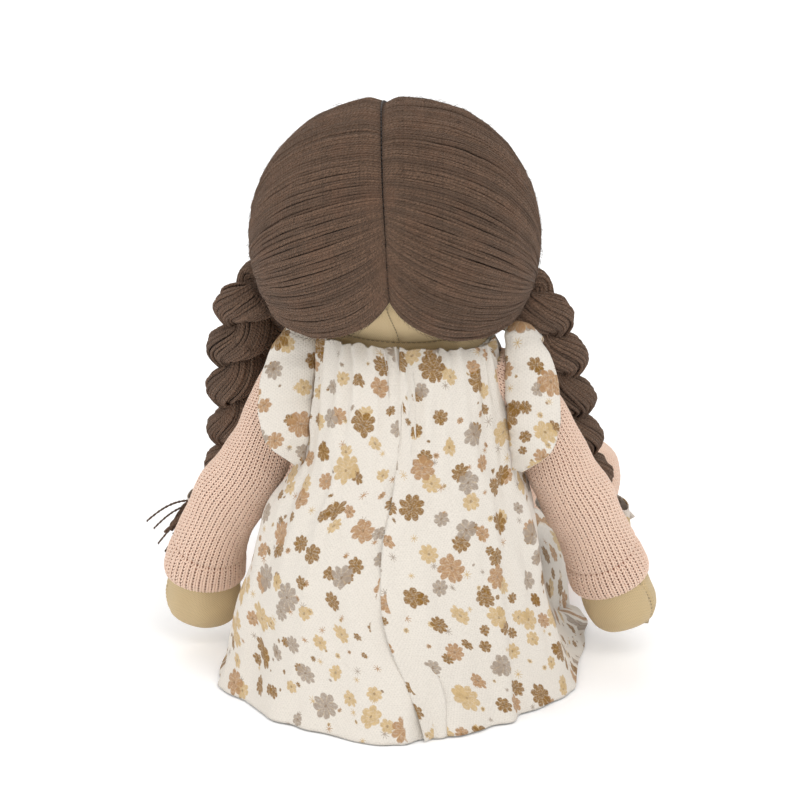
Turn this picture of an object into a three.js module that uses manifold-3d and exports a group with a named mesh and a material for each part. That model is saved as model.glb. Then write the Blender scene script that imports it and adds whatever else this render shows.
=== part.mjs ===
// Seated rag doll with yarn plaits and a gathered floral dress.
// Millimetres, +Z up. The doll faces -Y, so its left side is +X.
// The origin is the centre of the flat seat under the body.

import * as THREE from 'three';
import * as BufferGeometryUtils from 'three/addons/utils/BufferGeometryUtils.js';
import Module from 'manifold-3d';

const wasm = await Module();
wasm.setup();

// Cloth, seams and play
const seamGap = 0.32;
const coverThickness = 1.1;
const knitThickness = 1.9;
const dressThickness = 1.0;
const floorCut = 0.5;
const seamPatch = 1.2;

// Body
const bodyHeight = 150.5;
const seatHalfWidth = 38;
const seatHalfDepth = 26;
const hipHalfWidth = 45;
const hipHalfDepth = 31;
const chestHalfWidth = 34.5;
const chestHalfDepth = 27.5;
const neckHalfWidth = 30.5;
const neckHalfDepth = 25.5;

// Head
const headHalfWidth = 51.5;
const headHalfDepth = 47.5;
const headHalfHeight = 50;
const headAboveNeckSeam = 34;
const headForward = 4;
const neckLength = 5;
const neckPlugRadius = 17;
const neckPlugHalfHeight = 11;

// Hair
const hairThickness = 7.3;
const partHalfWidth = 1.1;
const partDepth = 1.6;
const faceHalfWidth = 38;
const facePeakAboveCentre = 39;
const napeNotchHalfWidth = 15;
const napeNotchHeight = 17;

// Face stitching
const eyeHalfWidth = 3.3;
const eyeHalfHeight = 4.1;
const eyeSpacing = 34;
const eyeDrop = 4;
const noseHalfWidth = 2.4;
const noseDrop = 12;
const mouthHalfWidth = 8;
const mouthDrop = 20;
const stitchHeight = 1.1;

// Plaits
const plaitPoints = [[57.5, -14, 155.5], [60.5, -20, 146], [63.5, -28, 130], [64.5, -35, 110],
    [65, -43, 90], [67, -51, 72], [69, -55, 63]];
const plaitStrands = 3;
const plaitPitch = 49;
const plaitHalfWidth = 10.6;
const plaitHalfDepth = 7.0;
const strandHalfWidth = 4.3;
const strandHalfDepth = 2.5;
const tieLength = 5;
const tieRadius = 6.6;
const elasticThickness = 1.6;
const tuftLength = 33;
const tuftRadius = 10;
const bowHalfSpan = 19;
const bowLoopHalfHeight = 8.5;
const bowLoopHalfDepth = 3.2;
const bowKnotRadius = 4.4;
const bowBandThickness = 1.3;
const bowTailLength = 19;
const bowTailHalfWidth = 6;

// Arms
const armPoints = [[36, 0, 133], [43, -2, 126], [53, -9, 107], [60, -14, 88], [69, -20, 70],
    [77, -26, 50], [82, -30, 36], [86, -33.5, 22], [87.5, -35.5, 9.5]];
const upperArmRadius = 11.8;
const foreArmRadius = 13.8;
const handHalfWidth = 15;
const handHalfDepth = 10.5;
const cuffStartShare = 0.735;
const cuffEndShare = 0.83;
const cuffThickness = 2.7;

// Legs
const hipSpacing = 44;
const ankleSpacing = 94;
const hipForward = 18;
const ankleForward = 138;
const thighRadius = 20.5;
const ankleRadius = 17;
const footHalfWidth = 21;
const footHalfLength = 15.5;
const footHalfHeight = 27.5;
const footForward = 151;
const footSpacing = 101;
const heelRadius = 18;
const heelForward = 143;

// Dress
const necklineHalfWidth = 36.5;
const necklineHalfDepth = 33;
const necklineHeight = 150;
const dressChestHalfWidth = 38;
const hemHalfWidth = 72;
const hemBack = 76;
const hemFront = 112;
const hemClearance = 0.5;
const foldCount = 12;
const foldDepth = 3.4;
const overlapAngle = 9;
const underTurn = 12;
const joinTurn = 30;
const overlapGap = 0.8;
const lapDrape = 5;
const flutterWidth = 19;
const flutterLength = 58;
const flutterHalfDepth = 17;
const flutterFrontDepth = 22;
const flutterFrontLength = 44;
const flutterThickness = 1.0;
const elasticHeight = 4;
const neckbandOpening = 18;
const neckbandDrop = 4;
const tapeHalfWidth = 4.5;
const tapeHeight = 12;
const tapeThickness = 0.6;
const tapeStartRow = 0.45;

// Cutting blocks reach past the whole doll.
const farOut = 400;

const TAU = Math.PI * 2;
const UP = new THREE.Vector3(0, 0, 1);
const SIDEWAYS = new THREE.Vector3(1, 0, 0);

// Colours and finishes
const finishes = {
    cotton: { color: 0xc9b28b, roughness: 0.85, metalness: 0 },
    wadding: { color: 0xf2f0ea, roughness: 0.95, metalness: 0 },
    yarn: { color: 0x5f4b3c, roughness: 0.9, metalness: 0 },
    knit: { color: 0xd3b5a1, roughness: 0.92, metalness: 0 },
    muslin: { color: 0xe4dcd0, roughness: 0.9, metalness: 0 },
    bow: { color: 0xdfd2c0, roughness: 0.9, metalness: 0 },
    elastic: { color: 0x3e3128, roughness: 0.6, metalness: 0 },
    tape: { color: 0xf0ece4, roughness: 0.8, metalness: 0 },
    thread: { color: 0x33241c, roughness: 0.7, metalness: 0 },
    mouth: { color: 0xa4584f, roughness: 0.7, metalness: 0 },
};

const doll = new THREE.Group();

// Solids

function solidFrom(positions, triangles) {
    const mesh = new wasm.Mesh({
        numProp: 3,
        vertProperties: new Float32Array(positions),
        triVerts: new Uint32Array(triangles),
    });
    return new wasm.Manifold(mesh);
}

function solidOf(geometry) {
    const bare = geometry.clone();
    bare.deleteAttribute('normal');
    bare.deleteAttribute('uv');
    const merged = BufferGeometryUtils.mergeVertices(bare, 1e-4);
    return solidFrom(merged.attributes.position.array, merged.index.array);
}

function enclosedVolume(points, triangles) {
    let volume = 0;
    const cross = new THREE.Vector3();
    for (let i = 0; i < triangles.length; i += 3) {
        const [a, b, c] = [points[triangles[i]], points[triangles[i + 1]], points[triangles[i + 2]]];
        volume += a.dot(cross.crossVectors(b, c));
    }
    return volume;
}

// A closed skin over a row of rings with equal counts. The ends close on their centres.
function skin(rings) {
    const count = rings[0].length;
    const points = rings.flat();
    const triangles = [];
    const last = rings.length - 1;
    for (let r = 0; r < last; r += 1) {
        const next = r + 1;
        for (let i = 0; i < count; i += 1) {
            const j = (i + 1) % count;
            const corners = [r * count + i, r * count + j, next * count + j, next * count + i];
            triangles.push(corners[0], corners[1], corners[2], corners[0], corners[2], corners[3]);
        }
    }
    for (const [r, turned] of [[0, false], [last, true]]) {
        const centre = new THREE.Vector3();
        rings[r].forEach((p) => centre.addScaledVector(p, 1 / count));
        points.push(centre);
        for (let i = 0; i < count; i += 1) {
            const edge = [r * count + i, r * count + (i + 1) % count];
            if (turned) edge.reverse();
            triangles.push(points.length - 1, edge[1], edge[0]);
        }
    }
    if (enclosedVolume(points, triangles) < 0) triangles.reverse();
    return solidFrom(points.flatMap((p) => [p.x, p.y, p.z]), triangles);
}

function ellipseRing(centre, across, along, halfAcross, halfAlong, sides) {
    const ring = [];
    for (let i = 0; i < sides; i += 1) {
        const angle = TAU * i / sides;
        ring.push(centre.clone()
            .addScaledVector(across, halfAcross * Math.cos(angle))
            .addScaledVector(along, halfAlong * Math.sin(angle)));
    }
    return ring;
}

// A row is [height, half width, half depth, how far the centre lies forward].
function uprightForm(rows, offset, sides) {
    const along = new THREE.Vector3(0, 1, 0);
    return skin(rows.map(([z, halfWidth, halfDepth, forward]) => ellipseRing(
        new THREE.Vector3(0, -forward, z), SIDEWAYS, along,
        Math.max(halfWidth + offset, 0.2), Math.max(halfDepth + offset, 0.2), sides)));
}

function ellipsoid(centre, halfX, halfY, halfZ, sides = 16, rows = 8) {
    const geometry = new THREE.SphereGeometry(1, sides, rows);
    geometry.scale(halfX, halfY, halfZ);
    geometry.translate(centre.x, centre.y, centre.z);
    return solidOf(geometry);
}

function block(low, high) {
    const geometry = new THREE.BoxGeometry(high[0] - low[0], high[1] - low[1], high[2] - low[2]);
    geometry.translate((high[0] + low[0]) / 2, (high[1] + low[1]) / 2, (high[2] + low[2]) / 2);
    return solidOf(geometry);
}

// Curves and the frames along them

function curveThrough(points, side) {
    return new THREE.CatmullRomCurve3(points.map(([x, y, z]) => new THREE.Vector3(side * x, y, z)));
}

function frameAt(curve, t, sideHint = SIDEWAYS) {
    const centre = curve.getPointAt(t);
    const tangent = curve.getTangentAt(t);
    const across = sideHint.clone().addScaledVector(tangent, -sideHint.dot(tangent)).normalize();
    const along = new THREE.Vector3().crossVectors(tangent, across);
    return { centre, tangent, across, along };
}

function smoothStep(low, high, value) {
    const t = THREE.MathUtils.clamp((value - low) / (high - low), 0, 1);
    return t * t * (3 - 2 * t);
}

// The value of a row of [place, value, value...] knots at a place between them.
function between(knots, place) {
    const next = Math.max(1, knots.findIndex((knot) => knot[0] >= place));
    const [a, b] = [knots[next - 1], knots[next]];
    const share = smoothStep(a[0], b[0], place);
    return a.slice(1).map((value, i) => THREE.MathUtils.lerp(value, b[i + 1], share));
}

// Body and head

const torsoRows = [
    [0, seatHalfWidth, seatHalfDepth, 0],
    [0.045 * bodyHeight, hipHalfWidth - 2, hipHalfDepth - 2, 0],
    [0.16 * bodyHeight, hipHalfWidth, hipHalfDepth, 0],
    [0.32 * bodyHeight, hipHalfWidth - 3, hipHalfDepth - 1, 0],
    [0.5 * bodyHeight, chestHalfWidth + 2, chestHalfDepth + 1, 0],
    [0.68 * bodyHeight, chestHalfWidth, chestHalfDepth, 0],
    [0.84 * bodyHeight, chestHalfWidth, chestHalfDepth - 1, 0],
    [0.94 * bodyHeight, chestHalfWidth - 1, neckHalfDepth, 0],
    [bodyHeight, neckHalfWidth, neckHalfDepth, 0],
];
const neckSeamHeight = bodyHeight + seamGap;
const headCentreHeight = neckSeamHeight + headAboveNeckSeam;

function torsoForm(offset, stretch = 0, sides = 20) {
    const rows = torsoRows.map((row) => [...row]);
    rows[0][0] -= Math.min(offset, 0);
    rows[rows.length - 1][0] += stretch;
    return uprightForm(rows, offset, sides);
}

// The head is an egg over a short neck, from the neck seam up.
function headRows(extra) {
    const rows = [[neckSeamHeight, neckHalfWidth, neckHalfDepth, 0],
        [neckSeamHeight + neckLength, neckHalfWidth - 0.5, neckHalfDepth - 0.5, 1]];
    for (let degrees = -30; degrees <= 90; degrees += 15) {
        const angle = THREE.MathUtils.degToRad(degrees);
        rows.push([headCentreHeight + (headHalfHeight + extra) * Math.sin(angle),
            (headHalfWidth + extra) * Math.cos(angle), (headHalfDepth + extra) * Math.cos(angle),
            headForward]);
    }
    return rows;
}

function headForm(offset, stretch = 0, sides = 20) {
    const rows = headRows(offset);
    rows[0][0] -= stretch;
    rows[0][1] += offset;
    rows[0][2] += offset;
    rows[1][1] += offset;
    rows[1][2] += offset;
    return uprightForm(rows, 0, sides);
}

// Hair

const hairLowAngle = -27;
const hairRows = [];
for (let step = 0; step <= 9; step += 1) {
    const degrees = THREE.MathUtils.lerp(hairLowAngle, 90, step / 9);
    const angle = THREE.MathUtils.degToRad(degrees);
    hairRows.push([headCentreHeight + (headHalfHeight + hairThickness) * Math.sin(angle),
        (headHalfWidth + hairThickness) * Math.cos(angle),
        (headHalfDepth + hairThickness) * Math.cos(angle), headForward]);
}
const hairEdge = [...hairRows[0]];
hairEdge[0] -= hairThickness / 3;
hairEdge[1] -= hairThickness * 0.8;
hairEdge[2] -= hairThickness * 0.8;
hairRows.unshift(hairEdge);

function faceOpening() {
    const shape = new THREE.Shape();
    const top = headCentreHeight + facePeakAboveCentre;
    const low = neckSeamHeight - neckLength;
    shape.moveTo(0, top);
    shape.bezierCurveTo(0.7 * faceHalfWidth, top - 8, faceHalfWidth, headCentreHeight + 8,
        faceHalfWidth, headCentreHeight - 8);
    shape.lineTo(0.9 * faceHalfWidth, low);
    shape.lineTo(-0.9 * faceHalfWidth, low);
    shape.lineTo(-faceHalfWidth, headCentreHeight - 8);
    shape.bezierCurveTo(-faceHalfWidth, headCentreHeight + 8, -0.7 * faceHalfWidth, top - 8, 0, top);
    const depth = 2 * headHalfDepth;
    const geometry = new THREE.ExtrudeGeometry(shape, { depth, bevelEnabled: false, curveSegments: 7 });
    geometry.rotateX(Math.PI / 2);
    geometry.translate(0, -headForward - headHalfDepth * 0.28, 0);
    return solidOf(geometry);
}

const napeHeight = hairRows[0][0];
const napeNotch = ellipsoid(new THREE.Vector3(0, headHalfDepth, napeHeight),
    napeNotchHalfWidth, headHalfDepth, napeNotchHeight, 16, 8);
const hairSpace = uprightForm(hairRows, 0, 32)
    .subtract(headForm(seamGap, 2))
    .subtract(faceOpening())
    .subtract(napeNotch);

function hairHalf(side) {
    const far = 2 * (headHalfWidth + hairThickness);
    const start = partHalfWidth + seamGap;
    const low = [side > 0 ? start : -far, -far, 0];
    const high = [side > 0 ? far : -start, far, 2 * far + headCentreHeight];
    return hairSpace.intersect(block(low, high));
}

function partingTape() {
    const far = headHalfWidth + hairThickness;
    const sunk = uprightForm(hairRows.map(([z, w, d, f], i) => [
        z - (i === hairRows.length - 1 ? partDepth : 0), w - partDepth, d - partDepth, f]), 0, 32);
    const slab = block([-partHalfWidth, -2 * far, 0], [partHalfWidth, 2 * far, 4 * far]);
    return hairSpace.intersect(sunk).intersect(slab);
}

// Face stitching lies on the front of the head.
function stitchedPad(x, drop, halfWidth, halfHeight) {
    const z = headCentreHeight - drop;
    const share = Math.sqrt(1 - (x / headHalfWidth) ** 2 - (drop / headHalfHeight) ** 2);
    const centre = new THREE.Vector3(x, -headForward - headHalfDepth * share, z);
    return ellipsoid(centre, halfWidth, stitchHeight + seamGap + 0.6, halfHeight, 12, 6)
        .subtract(headForm(seamGap));
}

function smile() {
    const points = [];
    for (let i = -2; i <= 2; i += 1) {
        const x = mouthHalfWidth * i / 2;
        const drop = mouthDrop - 2.2 * (i / 2) ** 2;
        const share = Math.sqrt(1 - (x / headHalfWidth) ** 2 - (drop / headHalfHeight) ** 2);
        points.push([x, -headForward - headHalfDepth * share - 0.6, headCentreHeight - drop]);
    }
    const curve = curveThrough(points, 1);
    const rings = [];
    for (let i = 0; i <= 6; i += 1) {
        const { centre, across, along } = frameAt(curve, i / 6, UP);
        const swell = 0.5 + Math.sin(Math.PI * i / 6);
        rings.push(ellipseRing(centre, across, along, 0.7 * swell, stitchHeight, 6));
    }
    return skin(rings).subtract(headForm(seamGap));
}

// Arms, sleeves and cuffs

function armForm(side, offset, from = 0, to = 1, sides = 12) {
    const knots = [
        [0, upperArmRadius * 0.75, upperArmRadius * 0.75],
        [0.07, upperArmRadius, upperArmRadius],
        [0.5, foreArmRadius, foreArmRadius],
        [0.8, foreArmRadius - 0.5, foreArmRadius - 1],
        [0.9, handHalfWidth, handHalfDepth + 1],
        [0.96, handHalfWidth * 0.93, handHalfDepth * 0.85],
        [1, handHalfWidth * 0.52, handHalfDepth * 0.45],
    ];
    const curve = curveThrough(armPoints, side);
    const places = [from, to, 0, 0.05, 0.16, 0.32, 0.48, 0.64, 0.8, 0.87, 0.93, 0.97, 1]
        .filter((t) => t >= from && t <= to)
        .sort((a, b) => a - b)
        .filter((t, i, all) => i === 0 || t - all[i - 1] > 0.012 || t === to);
    return skin(places.map((t) => {
        const [halfAcross, halfAlong] = between(knots, t);
        const { centre, tangent, across, along } = frameAt(curve, t);
        if (t === 0) centre.addScaledVector(tangent, -offset);
        if (t === 1) centre.addScaledVector(tangent, offset);
        return ellipseRing(centre, across, along, halfAcross + offset, halfAlong + offset, sides);
    }));
}

// Legs

function legForm(side, offset, sides = 14) {
    const hip = new THREE.Vector3(side * hipSpacing / 2, -hipForward, thighRadius - floorCut);
    const ankle = new THREE.Vector3(side * ankleSpacing / 2, -ankleForward, ankleRadius - floorCut);
    const tangent = ankle.clone().sub(hip).normalize();
    const across = SIDEWAYS.clone().addScaledVector(tangent, -tangent.x).normalize();
    const rings = [];
    for (const t of [0, 0.2, 0.45, 0.7, 0.92, 1.02]) {
        const radius = THREE.MathUtils.lerp(thighRadius, ankleRadius, t) + offset
            - (t > 1 ? ankleRadius / 3 : 0);
        const centre = hip.clone().lerp(ankle, t);
        rings.push(ellipseRing(centre, across, UP, radius, radius, sides));
    }
    const foot = ellipsoid(new THREE.Vector3(0, 0, 0), footHalfWidth + offset, footHalfLength + offset,
        footHalfHeight + offset, sides, 8)
        .translate([side * footSpacing / 2, -footForward, footHalfHeight - floorCut]);
    const heel = ellipsoid(new THREE.Vector3(0, 0, 0), heelRadius + offset, heelRadius + offset,
        heelRadius + offset, sides, 6)
        .translate([side * (ankleSpacing + footSpacing) / 4, -heelForward, heelRadius - floorCut]);
    return skin(rings).add(foot).add(heel);
}

// Dress

// Rows run from the neckline to the hem: [back reach, back height], [side reach, side height],
// [front reach, front height], all from the axis of the body.
const dressRows = [
    [[necklineHalfDepth, necklineHeight], [necklineHalfWidth, necklineHeight],
        [necklineHalfDepth, necklineHeight - 3]],
    [[34.5, 0.95 * necklineHeight], [dressChestHalfWidth - 1, 0.94 * necklineHeight],
        [35, 0.92 * necklineHeight]],
    [[36, 0.85 * necklineHeight], [dressChestHalfWidth, 0.84 * necklineHeight],
        [37, 0.83 * necklineHeight]],
    [[38.5, 0.73 * necklineHeight], [dressChestHalfWidth + 1, 0.71 * necklineHeight],
        [40, 0.71 * necklineHeight]],
    [[41, 0.61 * necklineHeight], [dressChestHalfWidth + 3.5, 0.62 * necklineHeight],
        [44, 0.59 * necklineHeight]],
    [[45, 0.49 * necklineHeight], [dressChestHalfWidth + 12.5, 0.5 * necklineHeight],
        [50, 0.47 * necklineHeight]],
    [[51, 0.365 * necklineHeight], [0.78 * hemHalfWidth, 0.36 * necklineHeight],
        [62, 0.385 * necklineHeight]],
    [[58, 0.245 * necklineHeight], [0.86 * hemHalfWidth, 0.22 * necklineHeight],
        [0.71 * hemFront, 0.345 * necklineHeight]],
    [[66, 0.125 * necklineHeight], [0.92 * hemHalfWidth, 0.1 * necklineHeight],
        [0.87 * hemFront, 0.33 * necklineHeight]],
    [[hemBack, hemClearance], [hemHalfWidth, hemClearance], [hemFront, 0.325 * necklineHeight]],
];
const dressColumns = 50;
const lastRow = dressRows.length - 1;

// How high cloth lies over the legs at a place in front of the body.
function lapHeight(x, y) {
    const share = (-y - hipForward) / (ankleForward - hipForward);
    const legX = THREE.MathUtils.lerp(hipSpacing, ankleSpacing, share) / 2;
    const radius = THREE.MathUtils.lerp(thighRadius, ankleRadius, share);
    const reach = radius + lapDrape;
    const away = Math.min(Math.abs(Math.abs(x) - legX) / reach, 1);
    const top = 2 * radius - floorCut + lapDrape / 2;
    const over = top * (1 - away ** 2.6) ** (1 / 2.6);
    const hollow = 0.52 * top * Math.exp(-((x / legX) ** 4));
    return Math.max(over, hollow);
}

// A place on the dress: row 0 is the neckline, and turn runs in degrees from the back, left side first.
function dressPoint(row, turn, inward) {
    const [back, side, front] = dressRows[row];
    const angle = THREE.MathUtils.degToRad(turn);
    const share = row / lastRow;
    const isFront = Math.cos(angle) < 0;
    const [reach, height] = isFront ? front : back;
    const square = isFront ? 2 / (2 + 1.6 * smoothStep(0.6, 1, share)) : 1;
    const across = Math.sign(Math.sin(angle)) * Math.abs(Math.sin(angle)) ** square;
    const along = Math.sign(Math.cos(angle)) * Math.abs(Math.cos(angle)) ** square;
    const start = smoothStep(joinTurn, underTurn, turn);
    const tapes = 2 * tapeThickness + 3 * seamGap - overlapGap;
    const layer = -(dressThickness + overlapGap + tapes * smoothStep(4, 1, row)) * start;
    const fold = foldDepth * share ** 1.5 * Math.cos(foldCount * angle + 1.2 * Math.sin(2 * angle))
        * (1 - start) * smoothStep(360 + underTurn, 360 - overlapAngle, turn);
    const grow = layer + (isFront ? 0.45 * fold : fold) - inward;
    const x = (side[0] + grow) * across;
    const y = (reach + grow) * along;
    const weight = Math.cos(angle) ** 2;
    let z = THREE.MathUtils.lerp(side[1], height, weight);
    if (isFront && row > 5) {
        const drape = smoothStep(5, 8, row);
        const lap = Math.max(lapHeight(x, y), hemClearance + (lastRow - row) * 6 * (1 - weight));
        z = THREE.MathUtils.lerp(z, lap, drape) - inward * drape * weight;
    }
    return new THREE.Vector3(x, y, Math.max(z, hemClearance));
}

// The dress is one sheet, open down the back, with its right edge lying over its left.
function dressSheet() {
    const points = [];
    const triangles = [];
    const columns = dressColumns + 1;
    const layerSize = columns * dressRows.length;
    for (const inward of [0, dressThickness]) {
        for (let row = 0; row <= lastRow; row += 1) {
            for (let column = 0; column < columns; column += 1) {
                const turn = -overlapAngle + (360 + 2 * overlapAngle) * column / dressColumns;
                points.push(dressPoint(row, turn, inward));
            }
        }
    }
    const quad = (a, b, c, d) => triangles.push(a, b, c, a, c, d);
    for (let row = 0; row < lastRow; row += 1) {
        for (let column = 0; column < dressColumns; column += 1) {
            const a = row * columns + column;
            quad(a, a + 1, a + columns + 1, a + columns);
            const b = layerSize + a;
            quad(b + columns, b + columns + 1, b + 1, b);
        }
        for (const [column, turned] of [[0, false], [dressColumns, true]]) {
            const a = row * columns + column;
            const rim = [a, a + columns, layerSize + a + columns, layerSize + a];
            if (turned) rim.reverse();
            quad(...rim);
        }
    }
    for (let column = 0; column < dressColumns; column += 1) {
        const a = column;
        quad(layerSize + a, layerSize + a + 1, a + 1, a);
        const b = lastRow * columns + column;
        quad(b, b + 1, layerSize + b + 1, layerSize + b);
    }
    if (enclosedVolume(points, triangles) < 0) triangles.reverse();
    return solidFrom(points.flatMap((p) => [p.x, p.y, p.z]), triangles);
}

// The space that the upper part of the dress encloses, grown by an offset.
const spaceSides = 20;

function dressSpace(offset, rows = 7, stretch = 0) {
    const rings = [];
    for (let row = 0; row < rows; row += 1) {
        const ring = [];
        for (let step = 0; step < spaceSides; step += 1) {
            const point = new THREE.Vector3();
            const angle = TAU * step / spaceSides;
            const [back, side, front] = dressRows[row];
            const reach = Math.cos(angle) < 0 ? front : back;
            point.x = (side[0] + offset) * Math.sin(angle);
            point.y = (reach[0] + offset) * Math.cos(angle);
            point.z = THREE.MathUtils.lerp(side[1], reach[1], Math.cos(angle) ** 2)
                + (row === 0 ? stretch : 0);
            ring.push(point);
        }
        rings.push(ring);
    }
    return skin(rings);
}

// A leaf of cloth sewn round the armhole, over the shoulder from back to front.
function flutter(side) {
    const low = necklineHeight - flutterLength;
    const rings = [];
    const ribs = 14;
    for (let i = 0; i <= ribs; i += 1) {
        const t = 0.02 + 0.96 * i / ribs;
        const rise = Math.sin(Math.PI * t);
        const isFront = t > 0.5;
        const width = (0.62 * flutterWidth * Math.sqrt(rise)
            + 0.5 * flutterWidth * Math.sqrt(Math.abs(Math.sin(TAU * t)))) * (isFront ? 0.8 : 1);
        const depth = (isFront ? flutterFrontDepth : flutterHalfDepth) * Math.cos(Math.PI * t);
        const root = new THREE.Vector3(dressChestHalfWidth * Math.sqrt(1 - (depth / hipHalfWidth) ** 2)
            - dressThickness, depth, low + flutterLength * rise);
        if (isFront) root.z = necklineHeight - flutterFrontLength * (1 - rise);
        const rib = [];
        const steps = 3;
        for (const thickness of [0, -flutterThickness]) {
            for (let k = 0; k <= steps; k += 1) {
                const place = thickness === 0 ? k : steps - k;
                const out = place / steps;
                const ripple = 1.1 * Math.sin(9 * Math.PI * t) * out;
                const point = root.clone();
                point.x += width * out;
                point.z += (-5 * out * out + ripple) * rise + thickness * rise;
                point.y += (ripple + 2.5 * out) * Math.cos(Math.PI * t) + thickness * Math.cos(Math.PI * t);
                point.x *= side;
                rib.push(point);
            }
        }
        rings.push(rib);
    }
    return skin(rings);
}

// Plaits, ties, bows and yarn ends

function plaitStrand(side, index) {
    const curve = curveThrough(plaitPoints, side);
    const length = curve.getLength();
    const steps = 24;
    const middle = [];
    for (let i = 0; i <= steps; i += 1) {
        const t = i / steps;
        const phase = side * TAU * (t * length / plaitPitch + index / plaitStrands);
        const gather = Math.min(0.55 + 0.45 * smoothStep(0, 0.12, t), 0.45 + 0.55 * smoothStep(1, 0.86, t));
        const { centre, across, along } = frameAt(curve, t);
        centre.addScaledVector(across, gather * plaitHalfWidth * Math.sin(phase));
        centre.addScaledVector(along, plaitHalfDepth * Math.sin(2 * phase));
        middle.push(centre);
    }
    const strandCurve = new THREE.CatmullRomCurve3(middle);
    const rings = [];
    for (let i = 0; i <= steps; i += 1) {
        const t = i / steps;
        const plait = frameAt(curve, t);
        const { centre, across, along } = frameAt(strandCurve, t, plait.along);
        const gather = Math.min(0.7 + 0.3 * smoothStep(0, 0.12, t), 0.6 + 0.4 * smoothStep(1, 0.86, t));
        rings.push(ellipseRing(centre, across, along, strandHalfDepth, gather * strandHalfWidth, 7));
    }
    return skin(rings);
}

function tieFrame(side) {
    const curve = curveThrough(plaitPoints, side);
    return frameAt(curve, 1);
}

function sleeveAlong(side, from, to, radius, sides = 10) {
    const { centre, tangent, across, along } = tieFrame(side);
    return skin([from, to].map((distance) => ellipseRing(
        centre.clone().addScaledVector(tangent, distance), across, along, radius, radius, sides)));
}

const tieStart = strandHalfDepth - seamGap / 3;

function hairElastic(side) {
    return sleeveAlong(side, tieStart, tieStart + tieLength, tieRadius)
        .subtract(sleeveAlong(side, 0, 2 * tieLength + tieStart, tieRadius - elasticThickness));
}

// Yarn ends pass through the tie, then spread outwards and down.
function braidTuft(side, offset = 0) {
    const { centre, tangent, across } = tieFrame(side);
    const neck = tieRadius - elasticThickness - seamGap;
    const outward = new THREE.Vector3(side * 0.72, -0.18, -0.67).normalize();
    const rings = [];
    const knots = [[0, neck, neck], [0.27, neck, neck], [0.5, 0.8 * tuftRadius, 0.62 * tuftRadius],
        [0.85, tuftRadius, 0.8 * tuftRadius], [1, 0.7 * tuftRadius, 0.5 * tuftRadius]];
    for (const t of [0, 0.27, 0.4, 0.55, 0.7, 0.85, 1]) {
        const straight = tieStart + tuftLength * Math.min(t, 0.27);
        const place = centre.clone().addScaledVector(tangent, straight)
            .addScaledVector(outward, tuftLength * Math.max(0, t - 0.27));
        const bend = smoothStep(0.27, 0.55, t);
        const [halfAcross, halfAlong] = between(knots, t);
        const direction = tangent.clone().lerp(outward, bend).normalize();
        const ringAcross = across.clone().addScaledVector(direction, -across.dot(direction)).normalize();
        const ringAlong = new THREE.Vector3().crossVectors(direction, ringAcross);
        rings.push(ellipseRing(place, ringAcross, ringAlong, halfAcross + offset, halfAlong + offset, 10));
    }
    return skin(rings);
}

function bow(side) {
    const { centre, tangent, across } = tieFrame(side);
    const front = new THREE.Vector3(0, -1, 0).addScaledVector(tangent, tangent.y).normalize();
    const middle = centre.clone().addScaledVector(tangent, tieStart + tieLength / 2);
    const bandHalf = tieLength / 2 - seamGap;
    const outer = tieRadius + seamGap + bowBandThickness;
    const from = tieStart + tieLength / 2 - bandHalf;
    let solid = sleeveAlong(side, from, from + 2 * bandHalf, outer);
    const knotPlace = middle.clone().addScaledVector(front, outer + bowKnotRadius * 0.55);
    solid = solid.add(ellipsoid(knotPlace, bowKnotRadius, bowKnotRadius, bowKnotRadius, 8, 4));
    for (const way of [-1, 1]) {
        const place = knotPlace.clone().addScaledVector(across, way * bowHalfSpan * 0.55);
        place.z += 1.5;
        solid = solid.add(ellipsoid(place, bowHalfSpan * 0.5, bowLoopHalfDepth, bowLoopHalfHeight, 8, 5));
        const end = knotPlace.clone().addScaledVector(across, way * bowHalfSpan * 0.42);
        end.z -= bowTailLength;
        const rings = [0, 1].map((t) => ellipseRing(knotPlace.clone().lerp(end, t), across,
            front, bowTailHalfWidth * (1 + 2 * t) / 3, 0.9, 6));
        solid = solid.add(skin(rings));
    }
    return solid
        .subtract(sleeveAlong(side, -tieLength, 2 * tieLength, tieRadius + seamGap))
        .subtract(braidTuft(side, 2 * seamGap));
}

// Pieces, one closed solid each

function geometryOf(solid) {
    const mesh = solid.getMesh();
    const geometry = new THREE.BufferGeometry();
    geometry.setAttribute('position', new THREE.BufferAttribute(mesh.vertProperties, 3));
    geometry.setIndex(new THREE.BufferAttribute(mesh.triVerts, 1));
    geometry.computeVertexNormals();
    return geometry;
}

function addPiece(name, solid, finish) {
    const material = new THREE.MeshStandardMaterial({ ...finishes[finish] });
    const piece = new THREE.Mesh(geometryOf(solid), material);
    piece.name = name;
    doll.add(piece);
}

// The largest closed body of a cut, which drops slivers that the cut leaves.
function largest(solid) {
    return solid.decompose().reduce((best, part) => (part.volume() > best.volume() ? part : best));
}

// Body and head pieces
const torso = torsoForm(0);
const torsoBarrier = torsoForm(seamGap);
const limbBarrier = torsoForm(seamPatch + 2 * seamGap);
addPiece('torso_cover', torso.subtract(torsoForm(-coverThickness, 2)), 'cotton');

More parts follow.
